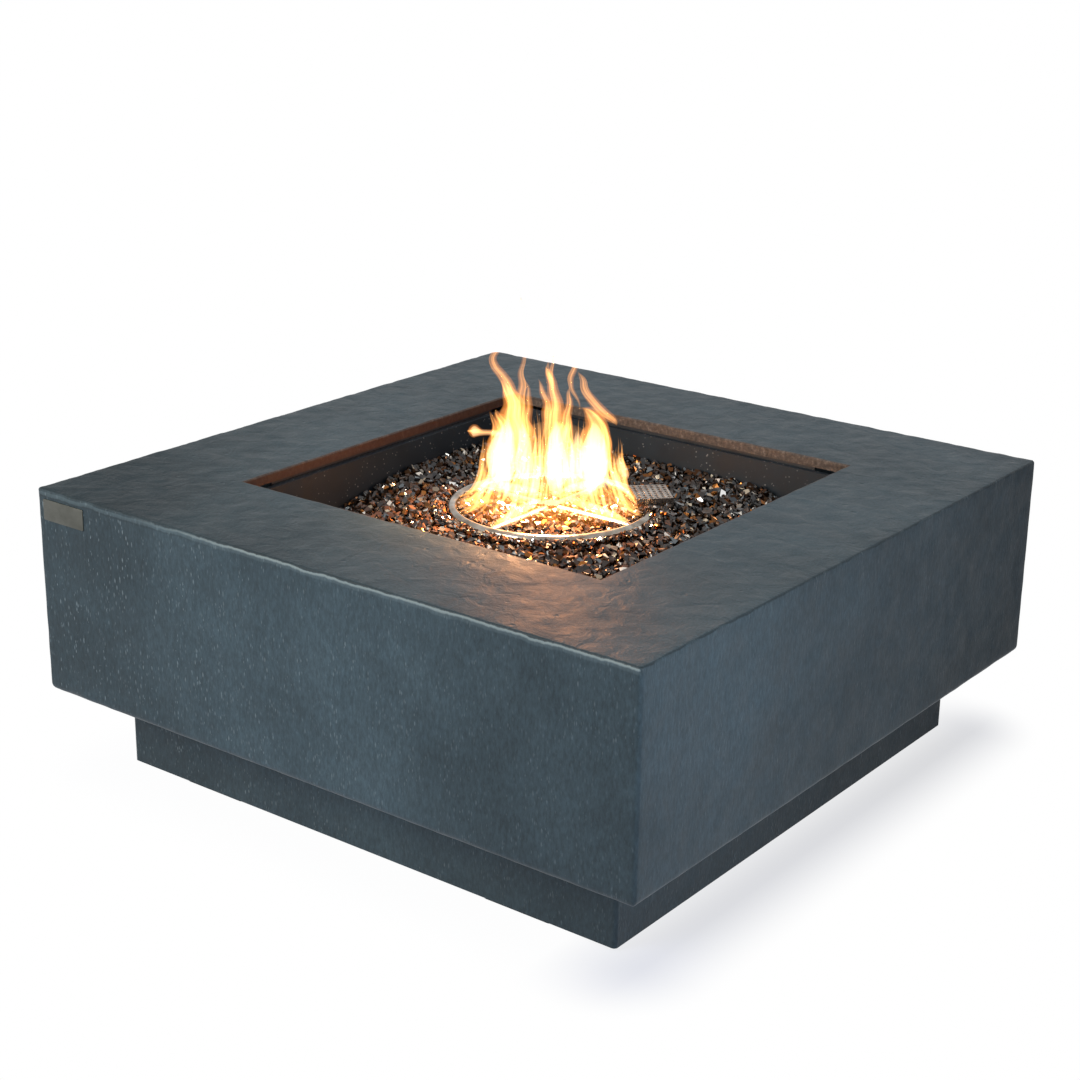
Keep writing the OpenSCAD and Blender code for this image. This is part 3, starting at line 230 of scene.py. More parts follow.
# cast glass-fibre concrete, trowelled and sealed: clouded slate grey, pale drops on the walls, a rippled top
def concreteFinish(name, dark, pale, fleck, rimZ=None):
    finish = newFinish(name)
    coords = addNode("TexCoord").outputs
    place = coords["Object"]
    x, y, z = axesOf(place)
    facingX, facingY, facingZ = axesOf(coords["Normal"])
    front = mapRange(facingY, -0.75, -0.97)  # 1 on the front wall
    rightWall = mapRange(facingX, 0.75, 0.97)
    upward = mapRange(facingZ, 0.8, 0.98)  # 1 on the top
    # clouds 200 mm across
    cloud = noise(place, 200, 5.0, 0.6)
    tone = rampOf(cloud, (0.3, dark), (0.7, pale))
    # painted light and shade, not in the cast: the front's middle is painted paler than its ends, the right
    # wall painted darker towards the back and both walls darker towards the right foot, and the top painted
    # darker towards its left corner
    along = mapRange(x, -530 * mm, 530 * mm)
    paintedFrontLight = rampOf(along, (0.0, 0.76), (0.2, 0.9), (0.38, 1.16), (0.55, 1.14), (0.75, 0.98), (1.0, 0.86))
    paintedBackShade = mapRange(y, -300 * mm, 500 * mm, 1.0, 0.66)
    rightHalf = mapRange(x, 0.0, 450 * mm)
    paintedFootShade = mapRange(z, 130 * mm, 330 * mm, 0.78, 1.0)
    cornerSum = mathNode("ADD", x, y)  # least at the left corner
    paintedCornerShade = mapRange(cornerSum, -900 * mm, -400 * mm, 0.6, 1.0)
    for where, paintedLevel in ((front, paintedFrontLight), (rightWall, paintedBackShade), (rightHalf, paintedFootShade), (upward, paintedCornerShade)):
        tone = mixColour(1.0, tone, mixValue(where, 1.0, paintedLevel), "MULTIPLY")
    # smudges of 40 mm, and a grain dragged down the walls into dashes 4 mm wide and 11 mm tall
    smudge = noise(place, 40, 4.0, 0.65)
    tone = mixColour(0.8, tone, rampOf(smudge, (0.3, 0.84), (0.7, 1.0)), "MULTIPLY")
    dragged = stretched(place, (1.0, 1.0, 0.36))
    grain = noise(dragged, 4, 3.0, 0.7)
    grainTone = rampOf(grain, (0.34, 0.62), (0.5, 0.9), (0.68, 1.25))
    colour = mixColour(0.75, tone, grainTone, "MULTIPLY")
    # drops: pale flecks up to 3.6 mm wide, in patches, thick at the front's left end, few elsewhere
    dropWay, chance = cells(dragged, 3.6)
    dropSize = mapRange(chance, 0.2, 1.0, 0.02, 0.5)
    dropCore = times(dropSize, 0.35)
    patches = rampOf(noise(dragged, 38, 5.0, 0.75), (0.42, 0.1), (0.62, 1.0))
    drops = times(mapRange(dropWay, dropSize, dropCore), patches)
    leftward = mapRange(x, -450 * mm, 300 * mm, 0.75, 0.25)
    dropShare = times(drops, mixValue(front, 0.12, leftward))
    colour = mixColour(dropShare, colour, fleck)
    if rimZ:
        farX, farY, _ = axesOf(vectorNode("ABSOLUTE", place)[0])
        farthest = mathNode("MAXIMUM", farX, farY)
        # the lip of the opening: browned by heat and warmed by painted flame light, most at the left, with
        # its aggregate of 7 mm showing
        lip = mapRange(farthest, 327 * mm, 324 * mm, 0.0, 0.85)
        mottle = noise(place, 7, 4.0, 0.7)
        heatBrownAndFlameGlow = rampOf(mottle, (0.35, "#463B34"), (0.55, "#665549"), (0.72, "#8A7B6E"))
        # painted flame light: a copper glow over the lip faces turned towards +x
        heatBrownAndFlameGlow = mixColour(mapRange(facingX, 0.6, 0.9, 0.0, 0.75), heatBrownAndFlameGlow, "#62402F")
        colour = mixColour(lip, colour, heatBrownAndFlameGlow)
        # the rim, over 20 mm down from a ragged start: on the front a pale band, partly wear and partly
        # painted highlight, with a dark line under it at the left and a painted highlight line over it at the
        # right, and round the block a painted shadow line along the arris
        outer = mapRange(farthest, 527 * mm, 530 * mm)
        ragged = mathNode("MULTIPLY_ADD", smudge, 10 * mm, z)
        below = mapRange(ragged, rimZ + 5 * mm, rimZ - 15 * mm)
        leftFront = times(mapRange(x, -120 * mm, -340 * mm), front)
        highlightFrontRight = mathNode("SUBTRACT", front, leftFront)
        arrisShadeWalls = mathNode("SUBTRACT", outer, upward, use_clamp=True)
        # tints in order: pale band, partly painted highlight; dark line; painted highlight line; painted
        # shadow line along the arris
        for where, tint, *stops in (
                (front, "#6B7C80", (0.18, 0.0), (0.26, 0.3), (0.46, 0.18), (0.56, 0.0)),
                (leftFront, "#20292D", (0.46, 0.0), (0.54, 0.5), (0.6, 0.3), (0.66, 0.0)),
                (highlightFrontRight, "#93A2A1", (0.11, 0.0), (0.16, 0.7), (0.24, 0.6), (0.33, 0.0)),
                (arrisShadeWalls, "#161F23", (0.0, 0.5), (0.06, 0.75), (0.12, 0.1), (0.15, 0.0))):
            amount = times(rampOf(below, *stops), where)
            amount = times(amount, outer)
            colour = mixColour(amount, colour, tint)
    roughness = mapRange(smudge, 0.3, 0.75, 0.42, 0.58)
    roughness = mathNode("MULTIPLY_ADD", upward, 0.02, roughness)
    # relief: slate ripples 30 mm across, deeper on the top, pits in the top up to 12 mm across, the grain as
    # orange peel, and the drops standing proud
    ripple = noise(place, 30, 3.0, 0.5, 0.6)
    relief = bump(ripple, 0.7, mapRange(upward, 0.0, 1.0, 0.5 * mm, 4.4 * mm))
    pitWay, pitChance = cells(place, 26)
    pitDip = mapRange(pitWay, 0.0, mapRange(pitChance, 0.35, 1.0, 0.0, 0.24))
    relief = bump(pitDip, 0.6, times(upward, 2.0 * mm), relief)
    relief = bump(grain, 0.6, 0.5 * mm, relief)
    relief = bump(drops, 0.5, 0.5 * mm, relief)
    # the sheen: dull on the right wall towards the back, and on the top at its left corner
    wallSheen = mixValue(rightWall, 0.22, mapRange(y, -400 * mm, 500 * mm, 0.21, 0.07))
    topSheen = mapRange(cornerSum, -900 * mm, -450 * mm, 0.08, 0.2)
    setSurface({"Base Color": colour, "Roughness": roughness, "IOR": 1.5, "Normal": relief,
                "Specular IOR Level": mixValue(upward, wallSheen, topSheen)})
    return finish


# the cast block: its section carried round the square, with the tray's opening left in the back wall
shellForm = Form(
    lengths(wall=16, slab=15, opening=323, corner=6, rim=4, hem=12, mouth=2, trayZ=290, rebate=(108, 61),
            rebateDepth=1.5, hole=(97.5, 50.5),
            # the trowelled swell and the wobble of the rim: height and range of wavelengths
            ripple=0.45, rippleWaves=(24, 70), wobble=0.5, wobbleWaves=(9, 30), wobbleDepth=5, wobbleReach=8),
    sideCells=56, trayCells=28, cornerCells=6, trayRows=16)


def line(u0, z0, u1, z1, steps, normal, swell):
    # rows of the section along a straight line: distance from the middle, height, normal, ripple share
    t = np.arange(steps) / steps
    return np.stack([u0 + (u1 - u0) * t, z0 + (z1 - z0) * t, normal[0] + 0 * t, normal[1] + 0 * t,
                     swell + 0 * t], 1)


def arc(u, z, r, start, end, steps, swell):
    # rows of the section along an arc about (u, z)
    a = np.radians(np.linspace(start, end, steps, endpoint=False))
    return np.stack([u + r * np.cos(a), z + r * np.sin(a), np.cos(a), np.sin(a), swell + 0 * a], 1)


def buildShell(form, finish):
    low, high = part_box("concrete_shell")
    half, base, top = high.x, low.z, high.z
    inner, slabZ, trayZ = half - form.wall, top - form.slab, form.trayZ
    rebateZ, holeZ = form.rebate[1], form.hole[1]
    opening, rim, hem, mouth = (form[k] for k in ("opening", "rim", "hem", "mouth"))
    stretches = [
        line(opening, slabZ, opening, top - mouth, 3, (-1, 0), 0.5),
        line(opening, top - mouth, opening + mouth, top, 2, (-0.7, 0.7), 0.8),
        line(opening + mouth, top, half - rim, top, 30, (0, 1), 1.0),
        arc(half - rim, top - rim, rim, 90, 0, 6, 1.0),
        line(half, top - rim, half, trayZ + rebateZ, 12, (1, 0), 0.6),
        line(half, trayZ + rebateZ, half, trayZ - rebateZ, form.trayRows, (1, 0), 0.6),
        line(half, trayZ - rebateZ, half, base + hem, 12, (1, 0), 0.6),
        arc(half - hem, base + hem, hem, 0, -90, 6, 0.6),
        line(half - hem, base, inner, base, 1, (0, -1), 0),
        line(inner, base, inner, trayZ - holeZ, 6, (-1, 0), 0),
        line(inner, trayZ - holeZ, inner, trayZ + holeZ, form.trayRows, (-1, 0), 0),
        line(inner, trayZ + holeZ, inner, slabZ, 5, (-1, 0), 0),
        line(inner, slabZ, opening, slabZ, 4, (0, -1), 0),
    ]
    outerTray, innerWall, innerTray, innerTop = 5, 9, 10, 12  # places in the list above
    starts = np.cumsum([0] + [len(s) for s in stretches])
    u, z, nu, nz, swell = (c[:, None] for c in np.concatenate(stretches).T)
    rows = len(u)
    # one quarter in complex numbers: the side runs along x at -u, then the corner turns to the next side
    r = np.maximum(form.corner - (half - u), 0.5 * mm)
    reach = u - r
    inside = (np.arange(rows) >= starts[innerWall])[:, None] & (np.arange(rows) < starts[innerTop])[:, None]
    gate = np.where(inside, form.hole[0], form.rebate[0])
    side = np.arange(form.sideCells) / form.sideCells
    tray = np.arange(form.trayCells) / form.trayCells
    along = np.concatenate([-reach + (reach - gate) * side, gate * (2 * tray - 1),
                            gate + (reach - gate) * side], 1)
    turn = np.exp(1j * np.radians(np.linspace(-90, 0, form.cornerCells, endpoint=False)))[None, :]
    quarter = np.concatenate([along - 1j * u, reach * (1 - 1j) + r * turn], 1)
    outward = np.concatenate([np.full(along.shape, -1j), np.repeat(turn, rows, 0)], 1)
    loop = np.concatenate([quarter * 1j ** k for k in range(4)], 1)
    outward = np.concatenate([outward * 1j ** k for k in range(4)], 1)
    columns = loop.shape[1]
    flat = np.stack([loop.real, loop.imag, np.repeat(z, columns, 1)], -1)
    # the surface is lifted along its normal by the swell, less the wobble within a bell about the rim
    nearRim = np.exp(-((flat[..., 2] - top + rim / 2) / form.wobbleDepth) ** 2)
    nearRim = nearRim * (u > half - form.wobbleReach)
    lift = swell * form.ripple * waves(flat, *form.rippleWaves, count=40, seed=3)
    lift -= nearRim * form.wobble * np.abs(waves(flat, *form.wobbleWaves, count=40, seed=5))
    place = loop + outward * nu * lift
    points = np.stack([place.real, place.imag, z + nz * lift], -1).reshape(-1, 3)
    quads = gridQuads(rows, columns, wrapRows=True, wrapColumns=True)
    # the tray's opening in the back wall: cells left out of both skins, then joined by four loops
    first = 2 * quarter.shape[1] + form.sideCells
    last = first + form.trayCells
    across = np.arange(first, last)
    gone = np.zeros((rows, columns), bool)
    for stretch in (outerTray, innerTray):
        gone[starts[stretch]:starts[stretch + 1], first:last] = True

    def ringOf(upper, lower, down):
        rowsDown = upper + down * np.arange(form.trayRows)
        return np.concatenate([upper * columns + across, rowsDown * columns + last,
                               lower * columns + across[::-1] + 1,
                               (rowsDown[::-1] + down) * columns + first])
    outer = ringOf(starts[outerTray], starts[outerTray + 1], 1)
    innerRing = ringOf(starts[innerTray + 1], starts[innerTray], -1)
    step, throat = points[outer].copy(), points[innerRing].copy()
    step[:, 1] = throat[:, 1] = half - form.rebateDepth
    stepRing = len(points) + np.arange(len(outer))
    throatRing = stepRing + len(outer)
    loops = [outer, stepRing, throatRing, innerRing]
    bridges = [np.stack([np.roll(a, -1), a, b, np.roll(b, -1)], 1) for a, b in zip(loops, loops[1:])]
    return meshPiece("castBlock", np.concatenate([points, step, throat]),
                     np.concatenate([quads[~gone]] + bridges), finish)


slateConcrete = concreteFinish("sealed glass-fibre concrete", "#2F3E45", "#41535B", "#7C8C91", rimZ=445 * mm)
# the plinth: the block's concrete in darker tones, painted shade for its place under the overhang
plinthConcreteShaded = concreteFinish("glass-fibre concrete, painted darker as shade", "#2A383F", "#394950", "#707E82")
castBlock = buildShell(shellForm, slateConcrete)
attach(castBlock, "table")
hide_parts("concrete_shell")
print("cast block:", len(castBlock.data.polygons), "faces")


# tempered fire glass, mirror-coated on one side and broken up: black glass, bronze and silver mirror facets
def fireGlassFinish():
    finish = newFinish("mirror-coated tempered fire glass")
    tone = addNode("Attribute", attribute_name="chipTone").outputs["Fac"]
    coat = addNode("Attribute", attribute_name="coatFace").outputs["Fac"]
    glass = rampOf(tone, (0.0, "#120E0B"), (0.35, "#281C13"), (0.6, "#4A331F"), (0.8, "#18191B"),
                   (1.0, "#3A3B3C"))
    mirror = rampOf(tone, (0.0, "#231A14"), (0.2, "#5A3A24"), (0.4, "#96602F"), (0.5, "#3A302A"),
                    (0.66, "#44474A"), (0.8, "#6E7376"), (0.88, "#8A7C6C"), (0.96, "#C9B9A0"),
                    (1.0, "#E6E6E4"))
    setSurface({"Base Color": mixColour(coat, glass, mirror), "Metallic": coat, "IOR": 1.5,
                "Roughness": mapRange(coat, 0.0, 1.0, 0.04, 0.12)})
    return finish


glassForm = Form(
    lengths(pitch=11.5, sizes=(4.6, 10.5), thick=(1.8, 4.5), middle=382, levelSwing=2, roof=11, wallGap=1,
            slabDrop=5, panMouth=311, panTop=426, floor=341, ringR=150, ringZ=391, ringTube=8, crossTube=7,
            tubeGap=0.4, hubR=14, standR=5, guardR=152, guardHalf=(28, 33), moundH=19, moundR=60,
            moundRise=20),
    panLean=11.0 / 86.0, standAz=22.0, guardAz=45.0, jitter=0.32, ballShare=0.8, coverMound=0.6,
    # tilt in degrees, the rims' radius as a share of the size, their width of their length, how far their
    # corners swing in radians and, as a share of the thickness, up and down
    tilt=62.0, rimShare=(0.5, 1.0), slim=(0.6, 1.0), cornerSwing=0.4, uneven=0.5,
    # shares of shards with a mirror above, below and on each edge, and the tone of the glass below them
    mirrored=(0.42, 0.4, 0.2), slabTone=0.1,
    # falls to the left and right corner: side, start along the diagonal, slope, greatest depth
    cornerFalls=((-1, 205 * mm, 0.22, 26 * mm), (1, 339 * mm, 0.5, 24 * mm)))
# small shards banked against the ring and the cross tubes, up to the middle of the tubes
bankForm = Form(glassForm, ballShare=0.6, **lengths(
    pitch=6.2, sizes=(3.2, 6.8), thick=(1.2, 3.0), middle=390, band=(-18, 28), armBand=18))
# shards lying over the ring beside the guard, between two bearings
coverForm = Form(bankForm, bearing=(19.0, 34.0), bearingSwing=4.0, **lengths(band=(-26, 24), armBand=0))


def bedZ(form, spots):
    # the bed's level, falling away towards two of the pan's corners
    level = np.full(spots.shape[:-1], form.middle)
    for side, start, slope, deepest in form.cornerFalls:
        outward = side * spots.sum(-1) / math.sqrt(2)
        level = level - np.clip(slope * (outward - start), 0, deepest)
    return level


def panEdge(form, level):
    # half the pan's inside width at a level, with the gap to its leaning wall
    return form.panMouth - form.wallGap - form.panLean * (form.panTop - level)


def scatterChips(form, lift, rng):
    # shards on a jittered hexagonal grid: two six-sided rims of uneven radius, turned and tilted at random,
    # sunk until a ball round each stays clear of the burner's tubes, and under the bed's roof
    def swing(reach, *shape):
        return rng.uniform(-reach, reach, shape)

    pitch, rowShare = form.pitch, 0.866  # rows of a hexagonal grid lie sin 60 degrees apart
    half = panEdge(form, form.middle)
    across, down = np.meshgrid(np.arange(-half, half, pitch), np.arange(-half, half, pitch * rowShare))
    across[1::2] += pitch / 2
    centre = np.stack([across.ravel(), down.ravel()], 1)
    if "band" in form:
        offset = np.hypot(*centre.T) - form.ringR
        byArm = (offset < 0) & (np.abs(centre).min(1) < form.armBand)
        centre = centre[(offset > form.band[0]) & (offset < form.band[1]) | byArm]
    if "bearing" in form:
        bearing = np.degrees(np.arctan2(centre[:, 1], centre[:, 0])) + swing(form.bearingSwing, len(centre))
        centre = centre[(bearing > form.bearing[0]) & (bearing < form.bearing[1])]
    centre += swing(form.jitter, *centre.shape) * pitch
    count = len(centre)
    size = rng.uniform(*form.sizes, count)
    thick = rng.uniform(*form.thick, count)
    angle = rng.uniform(0, 2 * np.pi, (count, 1)) + np.radians(60) * np.arange(6)
    angle = angle + swing(form.cornerSwing, count, 6)
    radius = size[:, None, None] * rng.uniform(*form.rimShare, (count, 2, 6))
    slim = rng.uniform(*form.slim, (count, 1, 1))
    sides = thick[:, None, None] * np.array([1.0, -1.0])[:, None]
    rim = np.stack([radius * np.cos(angle[:, None]), radius * np.sin(angle[:, None]) * slim,
                    np.broadcast_to(sides, radius.shape)], -1)
    rim[..., 2] += swing(form.uneven, count, 2, 6) * thick[:, None, None]
    # turn about a random level axis by up to the tilt: the part along the axis stays, the rest swings round
    axis = rng.uniform(0, 2 * np.pi, count)
    lean = np.radians(form.tilt) * np.sqrt(rng.uniform(0, 1, count))
    k = np.stack([np.cos(axis), np.sin(axis), 0 * axis], 1)[:, None]
    flatRim = rim.reshape(count, 12, 3)
    cosL, sinL = np.cos(lean)[:, None, None], np.sin(lean)[:, None, None]
    alongAxis = k * (flatRim * k).sum(-1, keepdims=True)
    turned = flatRim * cosL + np.cross(k, flatRim) * sinL + alongAxis * (1 - cosL)
    spread = np.abs(turned[..., :2]).max(1)
    room = panEdge(form, bedZ(form, centre))[:, None] - spread
    centre = np.clip(centre, -room, room)
    level = bedZ(form, centre)
    height = level + lift + swing(form.levelSwing, count)
    # clear of the hub, the guard and the stands
    reach, ball = spread.max(1), np.linalg.norm(turned, axis=-1).max(1)
    fromMiddle = np.hypot(*centre.T)
    turn = math.radians(form.guardAz)
    guard = centre @ np.array([[math.cos(turn), -math.sin(turn)], [math.sin(turn), math.cos(turn)]])
    guard[:, 0] -= form.guardR
    inGuard = (np.abs(guard) < np.array(form.guardHalf) + reach[:, None]).all(1)
    stands = form.ringR * np.exp(1j * np.radians(form.standAz + 90 * np.arange(4)))
    fromStands = np.abs(centre[:, :1] + 1j * centre[:, 1:] - stands)
    atStand = (fromStands < form.standR + reach[:, None]).any(1)
    free = (fromMiddle > form.hubR + reach) & ~inGuard & ~atStand
    # heaped round the guard outside the ring, and under each tube no higher than the ball allows
    over = "bearing" in form
    outside = np.clip((fromMiddle - form.ringR - form.ringTube) / form.moundRise, 0, 1)
    mound = form.moundH * np.maximum(outside, form.coverMound * over)
    mound = mound * np.exp(-(guard ** 2).sum(1) / form.moundR ** 2)
    height = np.minimum(height, level + form.roof - turned[..., 2].max(1)) + mound
    farOff = 1.0  # metres: no tube near, no limit
    for tube, gap in ((form.ringTube, np.abs(fromMiddle - form.ringR)),
                      (form.crossTube, np.where(fromMiddle < form.ringR, np.abs(centre).min(1), farOff))):
        need = tube + form.tubeGap + form.ballShare * ball
        reachUp = np.sqrt(np.maximum(need ** 2 - gap ** 2, 0))
        if over:
            height = np.maximum(height, np.where(gap < need, form.ringZ + reachUp, 0))
        else:
            height = np.minimum(height, np.where(gap < need, form.ringZ - reachUp, farOff))
    points = turned + np.concatenate([centre, height[:, None]], 1)[:, None]
    return points[free]


def glassSlab(form):
    # the close-packed glass under the shards: square rings from its base's middle out, up and over the bed
    side = np.linspace(-1, 1, 12, endpoint=False)
    ring = np.concatenate([side - 1j, 1 + 1j * side, -side + 1j, -1 - 1j * side])
    scale = np.concatenate([[0.0], [1.0], np.linspace(1, 0, 9)])
    onFloor = np.arange(len(scale)) < 2
    edge = panEdge(form, np.where(onFloor, form.floor, form.middle - form.slabDrop))
    loop = np.outer(scale * edge, ring)
    spots = np.stack([loop.real, loop.imag], -1)
    z = np.where(onFloor[:, None], form.floor, bedZ(form, spots) - form.slabDrop)
    spots = spots * (panEdge(form, z) / edge[:, None])[..., None]
    points = np.concatenate([spots, z[..., None]], -1).reshape(-1, 3)
    return points, gridQuads(len(scale), len(ring), wrapColumns=True).reshape(-1, 4)


def chipPiece(name, layers, seed, finish, node, slab=False):
    rng = np.random.default_rng(seed)
    form = layers[0][0]
    points = np.concatenate([scatterChips(layer, lift, rng) for layer, lift in layers])
    count = len(points)
    side = np.arange(6)
    faces = np.concatenate([np.stack([side, side + 6, (side + 1) % 6 + 6, (side + 1) % 6], 1),
                            [[0, 1, 2, 3], [0, 3, 4, 5], [9, 8, 7, 6], [11, 10, 9, 6]]])
    quads = (np.arange(count)[:, None, None] * 12 + faces).reshape(-1, 4)
    points = points.reshape(-1, 3)
    tone = np.repeat(rng.uniform(0, 1, count), len(faces))
    above, under, edges = form.mirrored
    coated = np.zeros((count, len(faces)))
    coated[:, 6:8] = (rng.uniform(0, 1, count) < above)[:, None]
    coated[:, 8:] = (rng.uniform(0, 1, count) < under)[:, None]
    coated[:, :6] = rng.uniform(0, 1, (count, 6)) < edges
    coated = coated.ravel()
    if slab:
        slabPoints, slabQuads = glassSlab(form)
        quads = np.concatenate([quads, slabQuads + len(points)])
        points = np.concatenate([points, slabPoints])
        tone = np.concatenate([tone, np.full(len(slabQuads), form.slabTone)])
        coated = np.concatenate([coated, np.zeros(len(slabQuads))])
    piece = meshPiece(name, points, quads, finish, smooth=0)
    for key, values in (("chipTone", tone), ("coatFace", coated)):
        shares = piece.data.attributes.new(key, "FLOAT", "FACE")
        shares.data.foreach_set("value", values.astype(np.float32))
    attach(piece, "table")
    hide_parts(node)
    print(name + ":", count, "shards")


fireGlass = fireGlassFinish()
topLayers = [(glassForm, 4.0 * mm), (bankForm, 3.5 * mm), (coverForm, 2.0 * mm)]  # each with its lift
chipPiece("fireGlassTop", topLayers, 11, fireGlass, "fire_glass_chips")
chipPiece("fireGlassUnder", [(glassForm, -3.0 * mm)], 12, fireGlass, "fire_glass_bed", slab=True)


# metals: one recipe for drawn, turned or brushed metal, softly clouded, with fine lines across the grain and
# edges broken by a bevel, so they catch the light; grain gives the lines in a metre along x, y and z
def metalFinish(name, colour, stain, roughness, grain=(400.0, 400.0, 400.0), stainAt=0.62, roundMm=0.3):
    finish = newFinish(name)
    place = addNode("TexCoord").outputs["Object"]
    cloud = noise(place, 1000 / 38, 4.0)  # 38 clouds in a metre
    lines = noise(stretched(place, grain), 1000, 3.0)
    edges = addNode("Bevel", {"Radius": roundMm * mm}, samples=6).outputs[0]
    setSurface({"Base Color": rampOf(cloud, (0.4, colour), (stainAt, stain)), "Metallic": 1.0,
                "Roughness": mapRange(lines, 0.3, 0.7, roughness - 0.07, roughness + 0.1),
                "Normal": bump(lines, 0.25, 0.2 * mm, edges)})
    return finish


# moulded or coated surfaces: paint, enamel, plastic, rubber, silicone, ceramic, with a fine grain and specks
def coatedFinish(name, colour, second, roughness, grainMm, speck=None, gloss=0.5):
    finish = newFinish(name)
    place = addNode("TexCoord").outputs["Object"]
    cloud = noise(place, 1000 / 22, 4.0)  # 22 clouds in a metre
    tone = rampOf(cloud, (0.35, colour), (0.7, second))
    if speck:  # dust and chips of pale grit, 1 to 3 mm, 130 in a metre where the clouds are pale
        dots = rampOf(cells(place, 1000 / 130)[0], (0.08, 0.9), (0.19, 0.0))
        amount = times(dots, mapRange(cloud, 0.42, 0.58))
        tone = mixColour(amount, tone, speck)
    grain = noise(place, grainMm, 2.0)
    setSurface({"Base Color": tone, "IOR": 1.5, "Specular IOR Level": gloss,
                "Roughness": mapRange(cloud, 0.3, 0.7, roughness - 0.06, roughness + 0.08),
                "Normal": bump(grain, 0.3, 0.3 * mm)})
    return finish


slotFinish = dict(
    cast_concrete=slateConcrete,
    plinth_concrete=plinthConcreteShaded,
    fire_glass=fireGlass,
    black_rubber=coatedFinish("moulded nitrile rubber", "#161616", "#222220", 0.75, 1.2),
    frame_paint=coatedFinish("black powder-coated steel", "#212224", "#2C2E30", 0.48, 0.9),
    zinc_steel=metalFinish("zinc-plated steel", "#B4B4AE", "#9A978A", 0.34),
    pan_enamel=coatedFinish("heat-proof black enamel on folded steel", "#121A21", "#1C252C", 0.55, 1.5,
                            speck="#8E8C88", gloss=0.25),
    stainless=metalFinish("brushed stainless steel", "#A9A8A4", "#9B9994", 0.3, (60.0, 60.0, 900.0)),
    mixer_steel=metalFinish("galvanised steel tube", "#8D8F90", "#77797A", 0.42),
    white_ceramic=coatedFinish("glazed alumina ceramic", "#E9E4D8", "#DAD2C2", 0.16, 2.0),
    electrode_wire=metalFinish("heat-proof nickel wire", "#77746E", "#5A5148", 0.36),
    copper=metalFinish("drawn copper tube", "#B9764F", "#8A5238", 0.3),
    brass=metalFinish("turned brass", "#C6A25C", "#A98445", 0.27),
    black_plastic=coatedFinish("moulded glass-filled nylon", "#141415", "#1D1D1F", 0.5, 0.6),
    battery_wrap=coatedFinish("printed plastic sleeve", "#7A4A1E", "#5B3512", 0.25, 1.0),
    red_silicone=coatedFinish("extruded silicone sleeve", "#8E2A20", "#7A231B", 0.45, 0.8),
)
for row in frame["record"]["subparts"]:
    piece = nodes[row["node"]]
    piece.data.materials.clear()
    piece.data.materials.append(slotFinish[row["material_slot"]])
burnerSteel = metalFinish("burner stainless steel, straw-coloured by heat", "#A39E95", "#74685B", 0.16,
                          (60.0, 60.0, 500.0), 0.7)
guardSteel = metalFinish("perforated stainless sheet, browned by heat", "#A0968C", "#7A6C62", 0.26,
                         roundMm=1.2)
for name in ("burner_ring", "burner_cross", "burner_hub", "burner_stands"):
    nodes[name].data.materials[0] = burnerSteel
nodes["igniter_guard"].data.materials[0] = guardSteel
print("finishes:", len(slotFinish) + 2)


# the knob's and the button's springs, listed as deforming nodes of their joints: each gets a mesh of its own
for joint in frame["record"]["behaviour"]["joints"]:
    for coil in joint.get("deforming_nodes", ()):
        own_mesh(nodes[coil["node"]])


# bare plate on the front face: a flat brushed plate with a rounded edge, one pillow-shaped grid
plateForm = Form(lengths(
    x=(-520, -435), z=(399, 431), thick=1.6, corner=2.5,
    # its edge from inside the wall outwards: each ring's inset, and its step behind the face
    sunk=0.4, insets=(0, 0, 0.2, 0.6), steps=(0.6, 0.15, 0)))


def buildPlate(form, finish):
    # rings of a rounded rectangle from the wall outwards, drawn in at the front edge, closed to the middle
    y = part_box("concrete_shell")[0].y
    midX, midZ = sum(form.x) / 2, sum(form.z) / 2
    halfX, halfZ, r = (form.x[1] - midX), (form.z[1] - midZ), form.corner
    turn = np.radians(np.arange(0, 90, 15))
    quarter = np.concatenate([turn + np.radians(90 * k) for k in range(4)])
    signX, signZ = np.sign(np.cos(quarter + 1e-6)), np.sign(np.sin(quarter + 1e-6))
    outlineX = signX * (halfX - r) + r * np.cos(quarter)
    outlineZ = signZ * (halfZ - r) + r * np.sin(quarter)
    inset = np.array(form.insets)
    depth = np.array([-form.sunk] + [form.thick - step for step in form.steps])
    rows = np.stack([midX + np.outer(1 - inset / halfX, outlineX),
                     np.repeat((y - depth)[:, None], len(quarter), 1),
                     midZ + np.outer(1 - inset / halfZ, outlineZ)], -1)
    middle = rows[-1] * [0.5, 1, 0.5] + [midX / 2, 0, midZ / 2]
    centre = np.broadcast_to([midX, y - form.thick, midZ], middle.shape)
    back = np.broadcast_to([midX, y - depth[0], midZ], middle.shape)
    grid = np.concatenate([[back], rows, [middle], [centre]])
    quads = gridQuads(len(grid), len(quarter), wrapColumns=True).reshape(-1, 4)
    return meshPiece("frontPlate", grid.reshape(-1, 3), quads, finish)


plateSteel = metalFinish("brushed grey anodised plate", "#63645F", "#595A55", 0.36, (40.0, 40.0, 2200.0))
frontPlate = buildPlate(plateForm, plateSteel)
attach(frontPlate, "table")
print("front plate")


